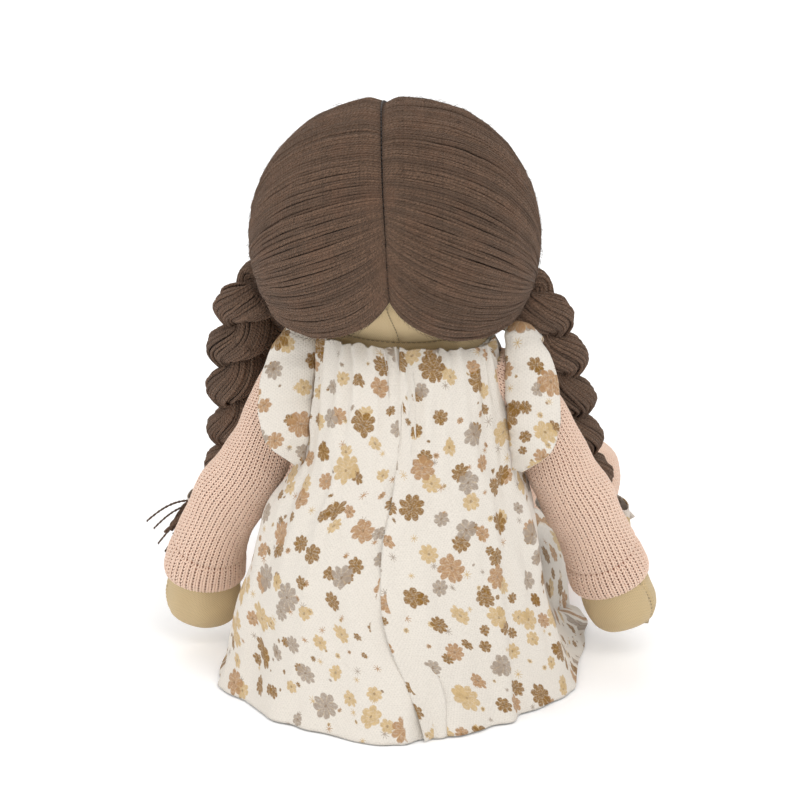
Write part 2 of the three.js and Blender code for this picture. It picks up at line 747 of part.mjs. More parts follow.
const neckPlug = ellipsoid(new THREE.Vector3(0, 0, neckSeamHeight), neckPlugRadius, neckPlugRadius,
    neckPlugHalfHeight, 14, 7);
const neckPlugSpace = ellipsoid(new THREE.Vector3(0, 0, neckSeamHeight), neckPlugRadius + seamGap,
    neckPlugRadius + seamGap, neckPlugHalfHeight + seamGap, 14, 7);
const wadding = -coverThickness - 2 * seamGap;
addPiece('torso_stuffing', torsoForm(wadding, 0, 10).subtract(neckPlugSpace), 'wadding');
addPiece('neck_plug', neckPlug, 'wadding');
addPiece('head_cover', headForm(0).subtract(headForm(-coverThickness, 2)), 'cotton');
addPiece('head_stuffing', headForm(wadding, 0, 10).subtract(neckPlugSpace), 'wadding');
addPiece('parting_tape', largest(partingTape()), 'thread');
addPiece('nose', largest(stitchedPad(0, noseDrop, noseHalfWidth, noseHalfWidth * 0.7)), 'mouth');
addPiece('mouth', largest(smile()), 'mouth');

// Dress pieces
const stuffedArms = [-1, 1].map((side) => armForm(side, knitThickness + 3 * seamGap));
const stuffedLegs = [-1, 1].map((side) => legForm(side, 2 * seamGap));
let dress = dressSheet().subtract(torsoBarrier);
for (const limb of [...stuffedArms, ...stuffedLegs]) dress = dress.subtract(limb);
addPiece('dress_body', largest(dress), 'muslin');

const neckbandOffset = -dressThickness - 2 * seamGap;
const neckbandTop = necklineHeight - neckbandDrop;
const neckband = dressSpace(neckbandOffset, 3, 4)
    .subtract(dressSpace(neckbandOffset - elasticThickness / 2, 3, 8))
    .intersect(block([-farOut, -farOut, neckbandTop - elasticHeight], [farOut, farOut, neckbandTop]))
    .subtract(torsoBarrier)
    .subtract(block([-neckbandOpening, 0, 0], [neckbandOpening, farOut, necklineHeight]));
addPiece('dress_neck_elastic', largest(neckband), 'tape');

// Two tapes grip each other between the overlapping edges, under the neckline.
function closureTape(layer) {
    const rings = [];
    const inner = dressThickness + seamGap + layer * (tapeThickness + seamGap);
    for (const share of [0, 0.34, 0.67, 1]) {
        const row = lerpRow(tapeStartRow + share * tapeHeight / (0.055 * necklineHeight));
        const rim = [];
        for (const [depth, xs] of [[inner, [-1, -0.5, 0, 0.5, 1]],
            [inner + tapeThickness, [1, 0.5, 0, -0.5, -1]]]) {
            for (const x of xs) {
                const across = x * tapeHalfWidth;
                const reach = row.reach - depth;
                const along = reach * Math.sqrt(1 - (across / row.half) ** 2);
                rim.push(new THREE.Vector3(across, along, row.height));
            }
        }
        rings.push(rim);
    }
    return skin(rings);
}

// The dress's back at a place between its rows.
function lerpRow(place) {
    const row = Math.min(Math.floor(place), lastRow - 1);
    const [low, high] = [dressRows[row], dressRows[row + 1]];
    const share = place - row;
    return {
        reach: THREE.MathUtils.lerp(low[0][0], high[0][0], share),
        height: THREE.MathUtils.lerp(low[0][1], high[0][1], share),
        half: THREE.MathUtils.lerp(low[1][0], high[1][0], share),
    };
}

addPiece('closure_hook_tape', closureTape(0), 'tape');
addPiece('closure_loop_tape', closureTape(1), 'tape');

for (const [side, name] of [[1, 'left'], [-1, 'right']]) {
    // Arm pieces
    const sleeveBarrier = armForm(side, knitThickness + 2 * seamGap);
    const arm = armForm(side, 0).subtract(limbBarrier);
    addPiece(`shoulder_seam_${name}`, largest(armForm(side, -1)
        .intersect(torsoForm(seamGap + seamPatch))
        .subtract(torsoBarrier)), 'cotton');
    addPiece(`arm_cover_${name}`, largest(arm.subtract(armForm(side, -coverThickness))), 'cotton');
    addPiece(`arm_stuffing_${name}`, largest(armForm(side, wadding, 0, 1, 6)
        .subtract(limbBarrier)), 'wadding');
    const sleeve = armForm(side, knitThickness + seamGap, 0, cuffStartShare)
        .subtract(armForm(side, seamGap))
        .subtract(limbBarrier);
    addPiece(`sleeve_${name}`, largest(sleeve), 'knit');
    const cuff = armForm(side, cuffThickness + seamGap, cuffStartShare + 0.003, cuffEndShare)
        .subtract(armForm(side, seamGap));
    addPiece(`cuff_${name}`, largest(cuff), 'knit');

    // Leg pieces
    const floor = block([-farOut, -farOut, -farOut], [farOut, farOut, 0]);
    const leg = legForm(side, 0).subtract(limbBarrier).subtract(floor);
    addPiece(`hip_seam_${name}`, largest(legForm(side, -1)
        .intersect(torsoForm(seamGap + seamPatch))
        .subtract(torsoBarrier)
        .subtract(floor)), 'cotton');
    addPiece(`stocking_${name}`, largest(leg.subtract(legForm(side, -knitThickness))), 'knit');
    addPiece(`leg_stuffing_${name}`, largest(legForm(side, -knitThickness - 4 * seamGap, 7)
        .subtract(limbBarrier)), 'wadding');

    // Hair pieces
    addPiece(`hair_${name}`, largest(hairHalf(side)), 'yarn');
    for (let index = 0; index < plaitStrands; index += 1) {
        addPiece(`braid_${name}_strand_${index + 1}`, plaitStrand(side, index), 'yarn');
    }
    addPiece(`hair_elastic_${name}`, hairElastic(side), 'elastic');
    addPiece(`braid_tuft_${name}`, braidTuft(side), 'yarn');
    addPiece(`bow_${name}`, largest(bow(side)), 'bow');
    addPiece(`eye_${name}`, largest(stitchedPad(side * eyeSpacing / 2, eyeDrop, eyeHalfWidth,
        eyeHalfHeight)), 'thread');

    // The flutter sleeve lies over the sleeve and against the dress.
    addPiece(`dress_flutter_${name}`, largest(flutter(side)
        .subtract(dressSpace(3 * seamGap))
        .subtract(sleeveBarrier)), 'muslin');
}

export default doll;
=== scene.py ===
"""Seated rag doll: yarn hair in two plaits, knitted sleeves and stockings, gathered floral dress."""

import math

import bpy
import numpy as np
from bpy.props import FloatProperty, FloatVectorProperty, IntProperty, PointerProperty
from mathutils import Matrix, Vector


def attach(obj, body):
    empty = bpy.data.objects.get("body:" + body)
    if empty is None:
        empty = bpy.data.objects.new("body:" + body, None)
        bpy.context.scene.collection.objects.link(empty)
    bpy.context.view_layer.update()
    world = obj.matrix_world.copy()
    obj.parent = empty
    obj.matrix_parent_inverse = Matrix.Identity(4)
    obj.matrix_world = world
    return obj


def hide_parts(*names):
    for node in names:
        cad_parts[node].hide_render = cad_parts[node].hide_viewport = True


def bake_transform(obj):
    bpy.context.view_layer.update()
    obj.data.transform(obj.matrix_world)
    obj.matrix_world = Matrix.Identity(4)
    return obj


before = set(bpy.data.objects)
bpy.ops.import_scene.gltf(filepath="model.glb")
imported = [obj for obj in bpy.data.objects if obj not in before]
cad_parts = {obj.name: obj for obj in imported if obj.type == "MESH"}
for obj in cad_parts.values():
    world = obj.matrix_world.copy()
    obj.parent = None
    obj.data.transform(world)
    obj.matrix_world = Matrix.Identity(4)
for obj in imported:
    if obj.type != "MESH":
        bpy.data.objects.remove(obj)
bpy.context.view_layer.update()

bl_info = {
    "name": "Rag doll",
    "version": (1, 0, 0),
    "blender": (4, 5, 0),
    "location": "3D View > Sidebar > Doll",
    "description": "Builds a seated rag doll with yarn plaits and a printed dress",
    "category": "Object",
}

TAU = 2 * math.pi
SIDES = (("left", 1), ("right", -1))


# Sizes and colours

def length(name, description, default):
    return FloatProperty(name=name, description=description, default=default, min=0, unit="LENGTH")


def colour(name, description, default):
    return FloatVectorProperty(name=name, description=description, default=default, size=3, min=0, max=1,
                               subtype="COLOR")


class DollSizes(bpy.types.PropertyGroup):
    hair_yarn: length("Hair yarn", "Width of one yarn of the hair", 0.00125)
    hair_lift: length("Hair thickness", "How far the hair stands off the head", 0.0068)
    plait_yarn: length("Plait yarn", "Width of one yarn of the plaits", 0.00135)
    plait_pitch: length("Plait pitch", "Length in which a strand comes back to its place", 0.063)
    plait_swing: length("Plait half width", "How far a strand runs out from the middle", 0.0078)
    strand_half_width: length("Strand half width", "Half the width of a strand", 0.0076)
    strand_half_depth: length("Strand half depth", "Half the depth of a strand", 0.0072)
    wale: length("Wale", "Width of a knitted stitch", 0.0022)
    course: length("Course", "Height of a knitted stitch", 0.00155)
    pucker: length("Neck gathers", "Depth of the gathers at the neckline", 0.0011)
    fold: length("Skirt folds", "Depth of the folds of the skirt", 0.0022)
    print_pitch: length("Print spacing", "Distance between the small flowers of the print", 0.0124)
    loose_yarns: IntProperty(name="Loose yarns", description="Yarn ends that stand out from each tuft",
                             default=6, min=0)
    stray_fibres: IntProperty(name="Stray fibres", description="Fibres that stand off each side",
                              default=1800, min=0)


class DollColours(bpy.types.PropertyGroup):
    cotton: colour("Cotton", "Body, head and hands", (0.6, 0.452, 0.248))
    hair: colour("Hair", "Yarn of the hair", (0.152, 0.086, 0.052))
    # Painted shade: the ground under the hair's yarns and the cores of the plaits take this dark colour
    # as the shadow between the yarns.
    hair_shade: colour("Hair shade", "Ground under the yarns", (0.060, 0.034, 0.021))
    knit: colour("Knit", "Sleeves and stockings", (0.92, 0.655, 0.51))
    # Painted shade: the colour between the stitches stands for the shadow in the knit's holes.
    knit_painted_shade: colour("Knit shade", "Between the stitches", (0.44, 0.20, 0.125))
    muslin: colour("Muslin", "Ground of the printed cloth", (0.715, 0.662, 0.590))
    brown: colour("Brown flowers", "Brown of the print", (0.245, 0.118, 0.012))
    ochre: colour("Ochre flowers", "Sand yellow of the print", (0.585, 0.415, 0.205))
    clay: colour("Clay flowers", "Terracotta of the print", (0.42, 0.235, 0.105))
    grey: colour("Grey flowers", "Warm grey of the print", (0.365, 0.295, 0.235))
    thread: colour("Dark thread", "Eyes and the stitching of the parting", (0.030, 0.018, 0.013))
    rose: colour("Rose thread", "Nose, mouth and blush", (0.52, 0.16, 0.12))


# Numbers over arrays

def unit(v):
    return v / np.maximum(np.linalg.norm(v, axis=-1, keepdims=True), 1e-9)


def lerp(a, b, t):
    return a + (b - a) * t


def smooth(low, high, x):
    t = np.clip((np.asarray(x, float) - low) / (high - low), 0, 1)
    return t * t * (3 - 2 * t)


def peak(x, width):
    return np.exp(-(np.asarray(x, float) / width) ** 2)


def across_of(v, along):
    """The part of v that is square to a unit vector."""
    return v - (v * along).sum(-1, keepdims=True) * along


def cubic(t, a, slope_a, b, slope_b):
    """A smooth step from a to b that starts and ends with the given slopes."""
    return ((2 * t**3 - 3 * t**2 + 1) * a + (t**3 - 2 * t**2 + t) * slope_a + (3 * t**2 - 2 * t**3) * b
            + (t**3 - t**2) * slope_b)


def running(lengths):
    """The length run from the start at each end of the steps."""
    return np.concatenate([[0], np.cumsum(lengths)])


def through(places, values, x):
    """A smooth line through values at increasing places."""
    places, values, x = (np.asarray(a, float) for a in (places, values, x))
    flat = values.ndim == 1
    values = values[:, None] if flat else values
    slope = np.gradient(values, places, axis=0)
    i = np.clip(np.searchsorted(places, x, side="right") - 1, 0, len(places) - 2)
    step = (places[i + 1] - places[i])[..., None]
    t = np.clip((x - places[i])[..., None] / step, 0, 1)
    out = cubic(t, values[i], slope[i] * step, values[i + 1], slope[i + 1] * step)
    return out[..., 0] if flat else out


def drift(points, size, seed):
    """Slow smooth wander about 0 over points, the same on each run."""
    waves = 7
    rng = np.random.default_rng(seed)
    points = np.asarray(points, float)
    total = np.zeros(points.shape[:-1])
    for _ in range(waves):
        way = rng.normal(size=points.shape[-1])
        way /= np.linalg.norm(way) * size * rng.uniform(0.7, 1.5)
        total += np.sin(TAU * (points @ way) + rng.uniform(0, TAU))
    return total / math.sqrt(waves)


class Line:
    """A smooth line through points, measured by its length from 0 to 1."""

    def __init__(self, points, side=1):
        p = np.array(points, float) * (side, 1, 1)
        p = np.vstack([2 * p[0] - p[1], p, 2 * p[-1] - p[-2]])
        rows = []
        for a, b, c, d in zip(p, p[1:], p[2:], p[3:]):
            ab, bc, cd = (max(math.sqrt(np.linalg.norm(e)), 1e-4) for e in (b - a, c - b, d - c))
            m1 = ((b - a) / ab - (c - a) / (ab + bc) + (c - b) / bc) * bc
            m2 = ((c - b) / bc - (d - b) / (bc + cd) + (d - c) / cd) * bc
            t = np.linspace(0, 1, 60, endpoint=False)[:, None]
            rows.append(cubic(t, b, m1, c, m2))
        self.points = np.vstack([*rows, p[-2]])
        self.run = running(np.linalg.norm(np.diff(self.points, axis=0), axis=1))
        self.length = self.run[-1]

    def at(self, t):
        x = np.clip(np.asarray(t, float), 0, 1) * self.length
        return np.stack([np.interp(x, self.run, self.points[:, k]) for k in range(3)], -1)

    def frame(self, t):
        """Place, tangent, width way and depth way at shares of the length."""
        t = np.asarray(t, float)
        tangent = unit(self.at(t + 0.004) - self.at(t - 0.004))
        across = unit(across_of(np.broadcast_to((1.0, 0, 0), tangent.shape), tangent))
        beyond = (t - np.clip(t, 0, 1))[..., None] * self.length
        return self.at(t) + beyond * tangent, tangent, across, np.cross(tangent, across)


# Meshes

class Shell:
    """Gathers the points and faces of one piece, in millimetres."""

    def __init__(self):
        self.points, self.tones, self.faces, self.uvs, self.slots = [], [], [], [], []
        self.count = 0

    def add(self, points, tone=0.5):
        points = np.asarray(points, float)
        index = self.count + np.arange(points[..., 0].size).reshape(points.shape[:-1])
        self.points.append(points.reshape(-1, 3))
        self.tones.append(np.broadcast_to(np.asarray(tone, float), points.shape[:-1]).ravel())
        self.count += index.size
        return index

    def face(self, corners, uvs, slot=0):
        corners = np.asarray(corners)
        sides = corners.shape[-1]
        self.faces.append(corners.reshape(-1, sides))
        self.uvs.append(np.asarray(uvs, float).reshape(-1, 2))
        self.slots.append(np.full(len(self.faces[-1]), slot))

    def quads(self, index, uv, wrap=False, flip=False, slot=0):
        """Faces over a grid of point numbers. uv has one more column than index where it wraps."""
        if wrap:
            index = np.concatenate([index, index[..., :, :1]], -1)
        pick = ((slice(None, -1), slice(None, -1)), (slice(None, -1), slice(1, None)),
                (slice(1, None), slice(1, None)), (slice(1, None), slice(None, -1)))
        if flip:
            pick = pick[::-1]
        corners = np.stack([index[(..., *p)] for p in pick], -1)
        uvs = np.stack([uv[(..., *p, slice(None))] for p in pick], -2)
        self.face(corners, uvs, slot)

    def fan(self, ring, centre, uv=(0, 0), tone=0.5, flip=False, slot=0):
        """Closes rings of point numbers on their centres."""
        ring = np.atleast_2d(ring)
        tip = self.add(np.atleast_2d(centre), tone)
        after = np.roll(ring, -1, axis=1)
        tips = np.repeat(tip[:, None], ring.shape[1], axis=1)
        corners = np.stack([after, ring, tips] if flip else [ring, after, tips], -1)
        self.face(corners, np.broadcast_to(np.asarray(uv, float), (*corners.shape, 2)), slot)

    def tube(self, paths, radius, sides=6, tone=0.5, flat=1.0, up=None, turn=0.0, slot=0, ends=True):
        """Round tubes along paths of (many, steps, 3). flat presses them along up."""
        paths = np.asarray(paths, float)
        paths = paths[None] if paths.ndim == 2 else paths
        many, steps = paths.shape[:2]
        tangent = unit(np.gradient(paths, axis=1))
        if up is None:
            hint = np.where(np.abs(tangent[:, :1, 2:]) > 0.8, (1.0, 0, 0), (0, 0, 1.0))
            normal = np.empty_like(paths)
            normal[:, 0] = unit(across_of(hint[:, 0], tangent[:, 0]))
            for s in range(1, steps):
                normal[:, s] = unit(across_of(normal[:, s - 1], tangent[:, s]))
        else:
            normal = unit(across_of(np.broadcast_to(up, paths.shape), tangent))
        side = np.cross(tangent, normal)
        radius = np.broadcast_to(np.asarray(radius, float), (many, steps))[..., None, None]
        angle = TAU * np.arange(sides) / sides + np.broadcast_to(turn, (many, steps))[..., None]
        rings = (paths[:, :, None] + radius * flat * np.cos(angle)[..., None] * normal[:, :, None]
                 + radius * np.sin(angle)[..., None] * side[:, :, None])
        run = np.concatenate([np.zeros((many, 1)),
                              np.cumsum(np.linalg.norm(np.diff(paths, axis=1), axis=-1), axis=1)], 1)
        tone = np.broadcast_to(np.asarray(tone, float).reshape(-1, 1) if np.ndim(tone) == 1 else tone,
                               (many, steps))
        index = self.add(rings, tone[..., None])
        u = np.broadcast_to(run[..., None], (many, steps, sides + 1))
        v = np.broadcast_to(np.arange(sides + 1) / sides, u.shape)
        self.quads(index, np.stack([u, v], -1), wrap=True, slot=slot)
        if ends:
            self.fan(index[:, 0], paths[:, 0], tone=tone[:, 0], flip=True, slot=slot)
            self.fan(index[:, -1], paths[:, -1], tone=tone[:, -1], slot=slot)

    def loft(self, rings, uv=None, slot=0):
        """A closed form over rings of (rows, columns, 3)."""
        uv = ring_uv(rings) if uv is None else uv
        index = self.add(rings)
        self.quads(index, uv, wrap=True, slot=slot)
        self.fan(index[:1], rings[0].mean(0), uv=uv[0, 0], flip=True, slot=slot)
        self.fan(index[-1:], rings[-1].mean(0), uv=uv[-1, 0], slot=slot)

    def cloth(self, grid, uv, thickness, slot=0):
        """A sheet of cloth with two faces and closed edges over a grid of points."""
        outer = self.add(grid)
        inner = self.add(grid - thickness * grid_normals(grid))
        self.quads(outer, uv, slot=slot)
        self.quads(inner, uv, flip=True, slot=slot)
        self.rim(outer, inner, uv, slot=slot)

    def rim(self, outer, inner, uv, columns=(0, -1), slot=0):
        """Closes a cloth along its first and last row and along the given columns."""
        for a, b, row in ((inner, outer, 0), (outer, inner, -1)):
            self.quads(np.stack([a[row], b[row]]), np.stack([uv[row], uv[row]]), slot=slot)
        for column in columns:
            a, b = (inner, outer) if column == 0 else (outer, inner)
            edge_uv = np.stack([uv[:, column], uv[:, column]], 1)
            self.quads(np.stack([a[:, column], b[:, column]], -1), edge_uv, slot=slot)

    def piece(self, name, looks, body=None, slot=None, stands_for=(), blend=None):
        """Makes the object, gives it its looks and says what it rides on and stands for."""
        mesh = bpy.data.meshes.new(name)
        points = np.concatenate(self.points) / 1000
        loops = np.concatenate([f.ravel() for f in self.faces])
        totals = np.concatenate([np.full(len(f), f.shape[1]) for f in self.faces])
        mesh.vertices.add(len(points))
        mesh.vertices.foreach_set("co", points.ravel())
        mesh.loops.add(len(loops))
        mesh.loops.foreach_set("vertex_index", loops.astype(np.int32))
        mesh.polygons.add(len(totals))
        starts = running(totals)[:-1]
        mesh.polygons.foreach_set("loop_start", starts.astype(np.int32))
        mesh.polygons.foreach_set("material_index", np.concatenate(self.slots).astype(np.int32))
        mesh.polygons.foreach_set("use_smooth", np.ones(len(totals), bool))
        mesh.update(calc_edges=True)
        layer = mesh.uv_layers.new(name="fabric")
        layer.data.foreach_set("uv", np.concatenate(self.uvs).ravel())
        tone = mesh.attributes.new("tone", "FLOAT", "POINT")
        tone.data.foreach_set("value", np.concatenate(self.tones))
        mesh.validate()
        for look in looks:
            mesh.materials.append(finish(look))
        piece = bpy.data.objects.new(name, mesh)
        bpy.context.scene.collection.objects.link(piece)
        if blend:
            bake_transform(piece)
        else:
            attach(piece, body)
        if stands_for:
            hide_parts(*stands_for)
        return piece


def grid_normals(grid):
    return unit(np.cross(np.gradient(grid, axis=1), np.gradient(grid, axis=0)))


def flat_uv(u, v):
    """A grid of texture places from one line of u and one of v."""
    return np.stack(np.broadcast_arrays(u[None, :], v[:, None]), -1)


def ring_uv(rings):
    """Lengths in millimetres round and along a loft."""
    closed = np.concatenate([rings, rings[:, :1]], 1)
    round_ = np.linalg.norm(np.diff(closed, axis=1), axis=-1).sum(1).mean()
    along = running(np.linalg.norm(np.diff(rings, axis=0), axis=-1).mean(1))
    return flat_uv(np.linspace(0, round_, closed.shape[1]), along)


# Shader maths

def operation(name, swap=False):
    """A method of a shader value that adds one Math node."""
    def method(self, *others):
        return self.math(name, *others, swap=swap)

    return method


class Val:
    """A shader value. Expressions on it add their Math nodes."""

    def __init__(self, look, socket):
        self.look, self.socket = look, socket

    def math(self, name, *others, swap=False):
        values = [self, *others]
        if swap:
            values.reverse()
        node = self.look.node("ShaderNodeMath", {"operation": name}, dict(enumerate(values)))
        return Val(self.look, node.outputs[0])

    __add__ = __radd__ = operation("ADD")
    __sub__ = operation("SUBTRACT")
    __rsub__ = operation("SUBTRACT", swap=True)
    __mul__ = __rmul__ = operation("MULTIPLY")
    __truediv__ = operation("DIVIDE")
    __rtruediv__ = operation("DIVIDE", swap=True)
    __pow__ = operation("POWER")
    __rpow__ = operation("POWER", swap=True)
    __lt__ = operation("LESS_THAN")
    __gt__ = operation("GREATER_THAN")
    __abs__ = operation("ABSOLUTE")
    sin = operation("SINE")
    cos = operation("COSINE")
    floor = operation("FLOOR")
    fract = operation("FRACT")
    root = operation("SQRT")

    def wave(self):
        """A wave between 0 and 1 that comes round once for each whole number."""
        return (self * TAU).sin() * 0.5 + 0.5

    def smooth(self, low, high):
        node = self.look.node("ShaderNodeMapRange", {"interpolation_type": "SMOOTHSTEP"},
                              {"Value": self, "From Min": low, "From Max": high})
        return Val(self.look, node.outputs["Result"])


class Look:
    """A material with one main shader."""

    def __init__(self, name, **constants):
        self.material = bpy.data.materials.new(name)
        self.material.use_nodes = True
        self.tree = self.material.node_tree
        self.shader = next(n for n in self.tree.nodes if n.type == "BSDF_PRINCIPLED")
        for socket, value in constants.items():
            title = socket.replace("_", " ").title().replace("Ior", "IOR")
            self.shader.inputs[title].default_value = value

    def node(self, kind, settings=None, sockets=None):
        """One node: its settings are set first, then its sockets get values or links."""
        made = self.tree.nodes.new(kind)
        for key, value in (settings or {}).items():
            if key == "stops":
                ramp = made.color_ramp
                while len(ramp.elements) < len(value):
                    ramp.elements.new(1.0)
                for element, (place, tint) in zip(ramp.elements, value):
                    element.position = place
                    element.color = (*tint, 1)
            elif key == "ramp":
                made.color_ramp.interpolation = value
            else:
                setattr(made, key, value)
        for key, value in (sockets or {}).items():
            self.feed(made.inputs[key], value)
        return made

    def feed(self, socket, value):
        if isinstance(value, Val):
            value = value.socket
        if isinstance(value, bpy.types.NodeSocket):
            self.tree.links.new(value, socket)
        elif socket.type == "RGBA" and len(value) == 3:
            socket.default_value = (*value, 1)
        else:
            socket.default_value = value

    def set(self, socket, value):
        self.feed(self.shader.inputs[socket], value)

    def uv(self):
        return self.node("ShaderNodeUVMap", {"uv_map": "fabric"}).outputs["UV"]

    def parts(self, vector):
        node = self.node("ShaderNodeSeparateXYZ", None, {0: vector})
        return [Val(self, out) for out in node.outputs]

    def vector(self, name, a, b):
        return self.node("ShaderNodeVectorMath", {"operation": name}, {0: a, 1: b}).outputs[0]

    def tone(self):
        return Val(self, self.node("ShaderNodeAttribute", {"attribute_name": "tone"}).outputs["Fac"])

    def place(self):
        return self.node("ShaderNodeTexCoord").outputs["Object"]

    def noise(self, vector, scale, detail=2.0, roughness=0.5, squeeze=None):
        """Soft noise. squeeze makes it finer along the axes that it multiplies most."""
        if squeeze:
            vector = self.vector("MULTIPLY", vector, (*squeeze, 1.0))
        node = self.node("ShaderNodeTexNoise", None,
                         {"Vector": vector, "Scale": scale, "Detail": detail, "Roughness": roughness})
        return Val(self, node.outputs[0])

    def mix(self, factor, a, b, blend="MIX"):
        settings = {"data_type": "RGBA", "blend_type": blend}
        return self.node("ShaderNodeMix", settings, {0: factor, 6: a, 7: b}).outputs[2]

    def bump(self, height, distance, strength=1.0):
        sockets = {"Height": height, "Distance": distance, "Strength": strength}
        self.set("Normal", self.node("ShaderNodeBump", None, sockets).outputs["Normal"])


def shade(tint, times):
    return tuple(min(1.0, c * times) for c in tint)


def colours():
    return bpy.context.scene.doll_colours


def sizes():
    return bpy.context.scene.doll_sizes


def mm(name):
    return 1000 * getattr(sizes(), name)


# Materials

FINISHES = {}


def finish(name):
    if name not in FINISHES:
        FINISHES[name] = MAKERS[name](name).material
    return FINISHES[name]


def weave(look, uv, warp, weft):
    """Height of a plain weave, from 0 to 1, with threads of uneven thickness."""
    u, v, _ = look.parts(uv)
    wobble = look.noise(uv, 0.35, 3.0) - 0.5
    a = (u / warp + wobble * 0.5) * math.pi
    b = (v / weft + wobble * 0.5) * math.pi
    over = a.sin() * b.sin()
    lines = (a * 2).cos() * 0.25 + (b * 2).cos() * 0.25
    return over * 0.3 + lines * 0.6 + 0.5


def cotton(name, blush=False):
    """Tan plain-weave cotton with a fine visible thread."""
    look = Look(name, roughness=0.86, sheen_weight=0.12, sheen_roughness=0.5)
    c = colours()
    uv = look.uv()
    threads = weave(look, uv, 0.46, 0.52)
    blotch = look.noise(look.place(), 60, 3.0)
    fleck = look.noise(uv, 2.2, 2.0)
    # Painted shade: the cloth is darker where the weave lies low.
    tint = look.mix(threads.smooth(0.15, 0.85), shade(c.cotton, 0.72), shade(c.cotton, 1.10))
    tint = look.mix((blotch - 0.35) * 0.5, tint, shade(c.cotton, 0.80))
    tint = look.mix(fleck.smooth(0.62, 0.78) * 0.25, tint, shade(c.cotton, 1.25))
    if blush:
        x, y, z = look.parts(look.place())
        cheek_x, cheek_z, cheek_radius = 0.0265, 0.1715, 0.0105
        away = ((abs(x) - cheek_x) ** 2 + (z - cheek_z) ** 2).root()
        tint = look.mix(away.smooth(cheek_radius, 0.001) * (y < 0) * 0.45, tint, c.rose)
    look.set("Base Color", tint)
    look.bump(threads + blotch * 0.6, 0.00022, 0.8)
    return look


def hair_yarn(name):
    """Soft plied yarn: twisted plies with painted shade in the grooves between them, paler and darker
    fibres and yarns that differ a little.
    """
    tint, ply, fuzz = tuple(colours().hair), 1.5, 0.6
    look = Look(name, roughness=0.95, sheen_weight=0.12, sheen_roughness=0.5,
                sheen_tint=(0.9, 0.66, 0.48, 1))
    uv = look.uv()
    u, v, _ = look.parts(uv)
    tone = look.tone()
    sway = look.noise(look.place(), 160, 2.0)
    twist = (u / ply + v * 2 + tone * 13 + sway * 3).wave()
    fibre = look.noise(uv, 1.8, 4.0, 0.7, squeeze=(0.5, 3.2))
    patch = look.noise(look.place(), 90, 2.0)
    # Painted shade: the twist darkens the grooves between the plies.
    mixed = look.mix(twist.smooth(0.0, 0.7), shade(tint, 0.68), tint)
    mixed = look.mix(fibre.smooth(0.45, 0.70) * fuzz * 1.25, mixed, shade(tint, 1.7))
    mixed = look.mix(fibre.smooth(0.52, 0.30) * fuzz * 1.2, mixed, shade(tint, 0.45))
    mixed = look.mix((tone - 0.5) * 0.9 + 0.25, mixed, shade(tint, 0.5))
    ruddy = (tint[0] * 1.3, tint[1] * 1.1, tint[2])
    mixed = look.mix(patch.smooth(0.45, 0.75) * 0.25, mixed, ruddy)
    look.set("Base Color", mixed)
    look.bump(twist * 0.6 + fibre * 2.2, 0.0005)
    return look


def hair_shade(name):
    """Painted shade: the dark ground under the yarns of the hair and inside the strands stands for the
    shadow between them.
    """
    look = Look(name, roughness=0.95)
    uv = look.uv()
    fibre = look.noise(uv, 1.5, 3.0, squeeze=(0.3, 4.0))
    tint = colours().hair_shade
    look.set("Base Color", look.mix(fibre, shade(tint, 0.6), shade(tint, 1.9)))
    look.bump(fibre, 0.0006)
    return look


def knit_yarn(name):
    """Fine twisted yarn of the stitches, a little uneven in its dye, with painted shade in the grooves of
    its twist.
    """
    look = Look(name, roughness=0.9, sheen_weight=0.3, sheen_roughness=0.5)
    c = colours()
    uv = look.uv()
    u, v, _ = look.parts(uv)
    tone = look.tone()
    twist = (u / 0.75 + v * 2).wave()
    fibre = look.noise(uv, 2.0, 3.0, 0.6, squeeze=(3.0, 6.0))
    patch = look.noise(look.place(), 70, 2.0)
    # Partly painted shade: the twist darkens the grooves between the plies; the fibre mottle is the
    # yarn's own.
    tint = look.mix(twist * 0.35 + fibre * 0.4, shade(c.knit, 0.84), shade(c.knit, 1.16))
    tint = look.mix(tone, tint, shade(c.knit, 0.88))
    tint = look.mix((patch - 0.4) * 0.5, tint, shade(c.knit, 0.86))
    look.set("Base Color", tint)
    look.bump(twist * 0.4 + fibre * 0.6, 0.00018, 0.8)
    return look


def knit_ground(name):
    """Painted shade: the dark inside of the knit that shows between its stitches stands for the shadow in
    its holes.
    """
    look = Look(name, roughness=0.95)
    fibre = look.noise(look.uv(), 3.0, 2.0)
    tint = colours().knit_painted_shade
    look.set("Base Color", look.mix(fibre, shade(tint, 0.7), shade(tint, 1.5)))
    look.bump(fibre, 0.0003)
    return look


def knit_flat(name):
    """Stocking stitch as relief with painted shade between the stitches, for the leg under the dress and
    the tip of the toe.
    """
    look = Look(name, roughness=0.9, sheen_weight=0.25)
    c = colours()
    u, v, _ = look.parts(look.uv())
    wale = (u / mm("wale")).fract() - 0.5
    slant = (v / mm("course") + abs(wale) * 1.2).fract() - 0.5
    leg = (0.5 - abs(abs(wale) - 0.25) * 2).smooth(0.02, 0.4) * (0.5 - abs(slant)).smooth(0.02, 0.35)
    fibre = look.noise(look.place(), 900, 2.0)
    # Painted shade: darker between the stitches' legs, lighter on them.
    look.set("Base Color", look.mix(leg * 0.5 + fibre * 0.15 + 0.38, shade(c.knit_painted_shade, 1.6), c.knit))
    look.bump(leg + fibre * 0.3, 0.0006)
    return look


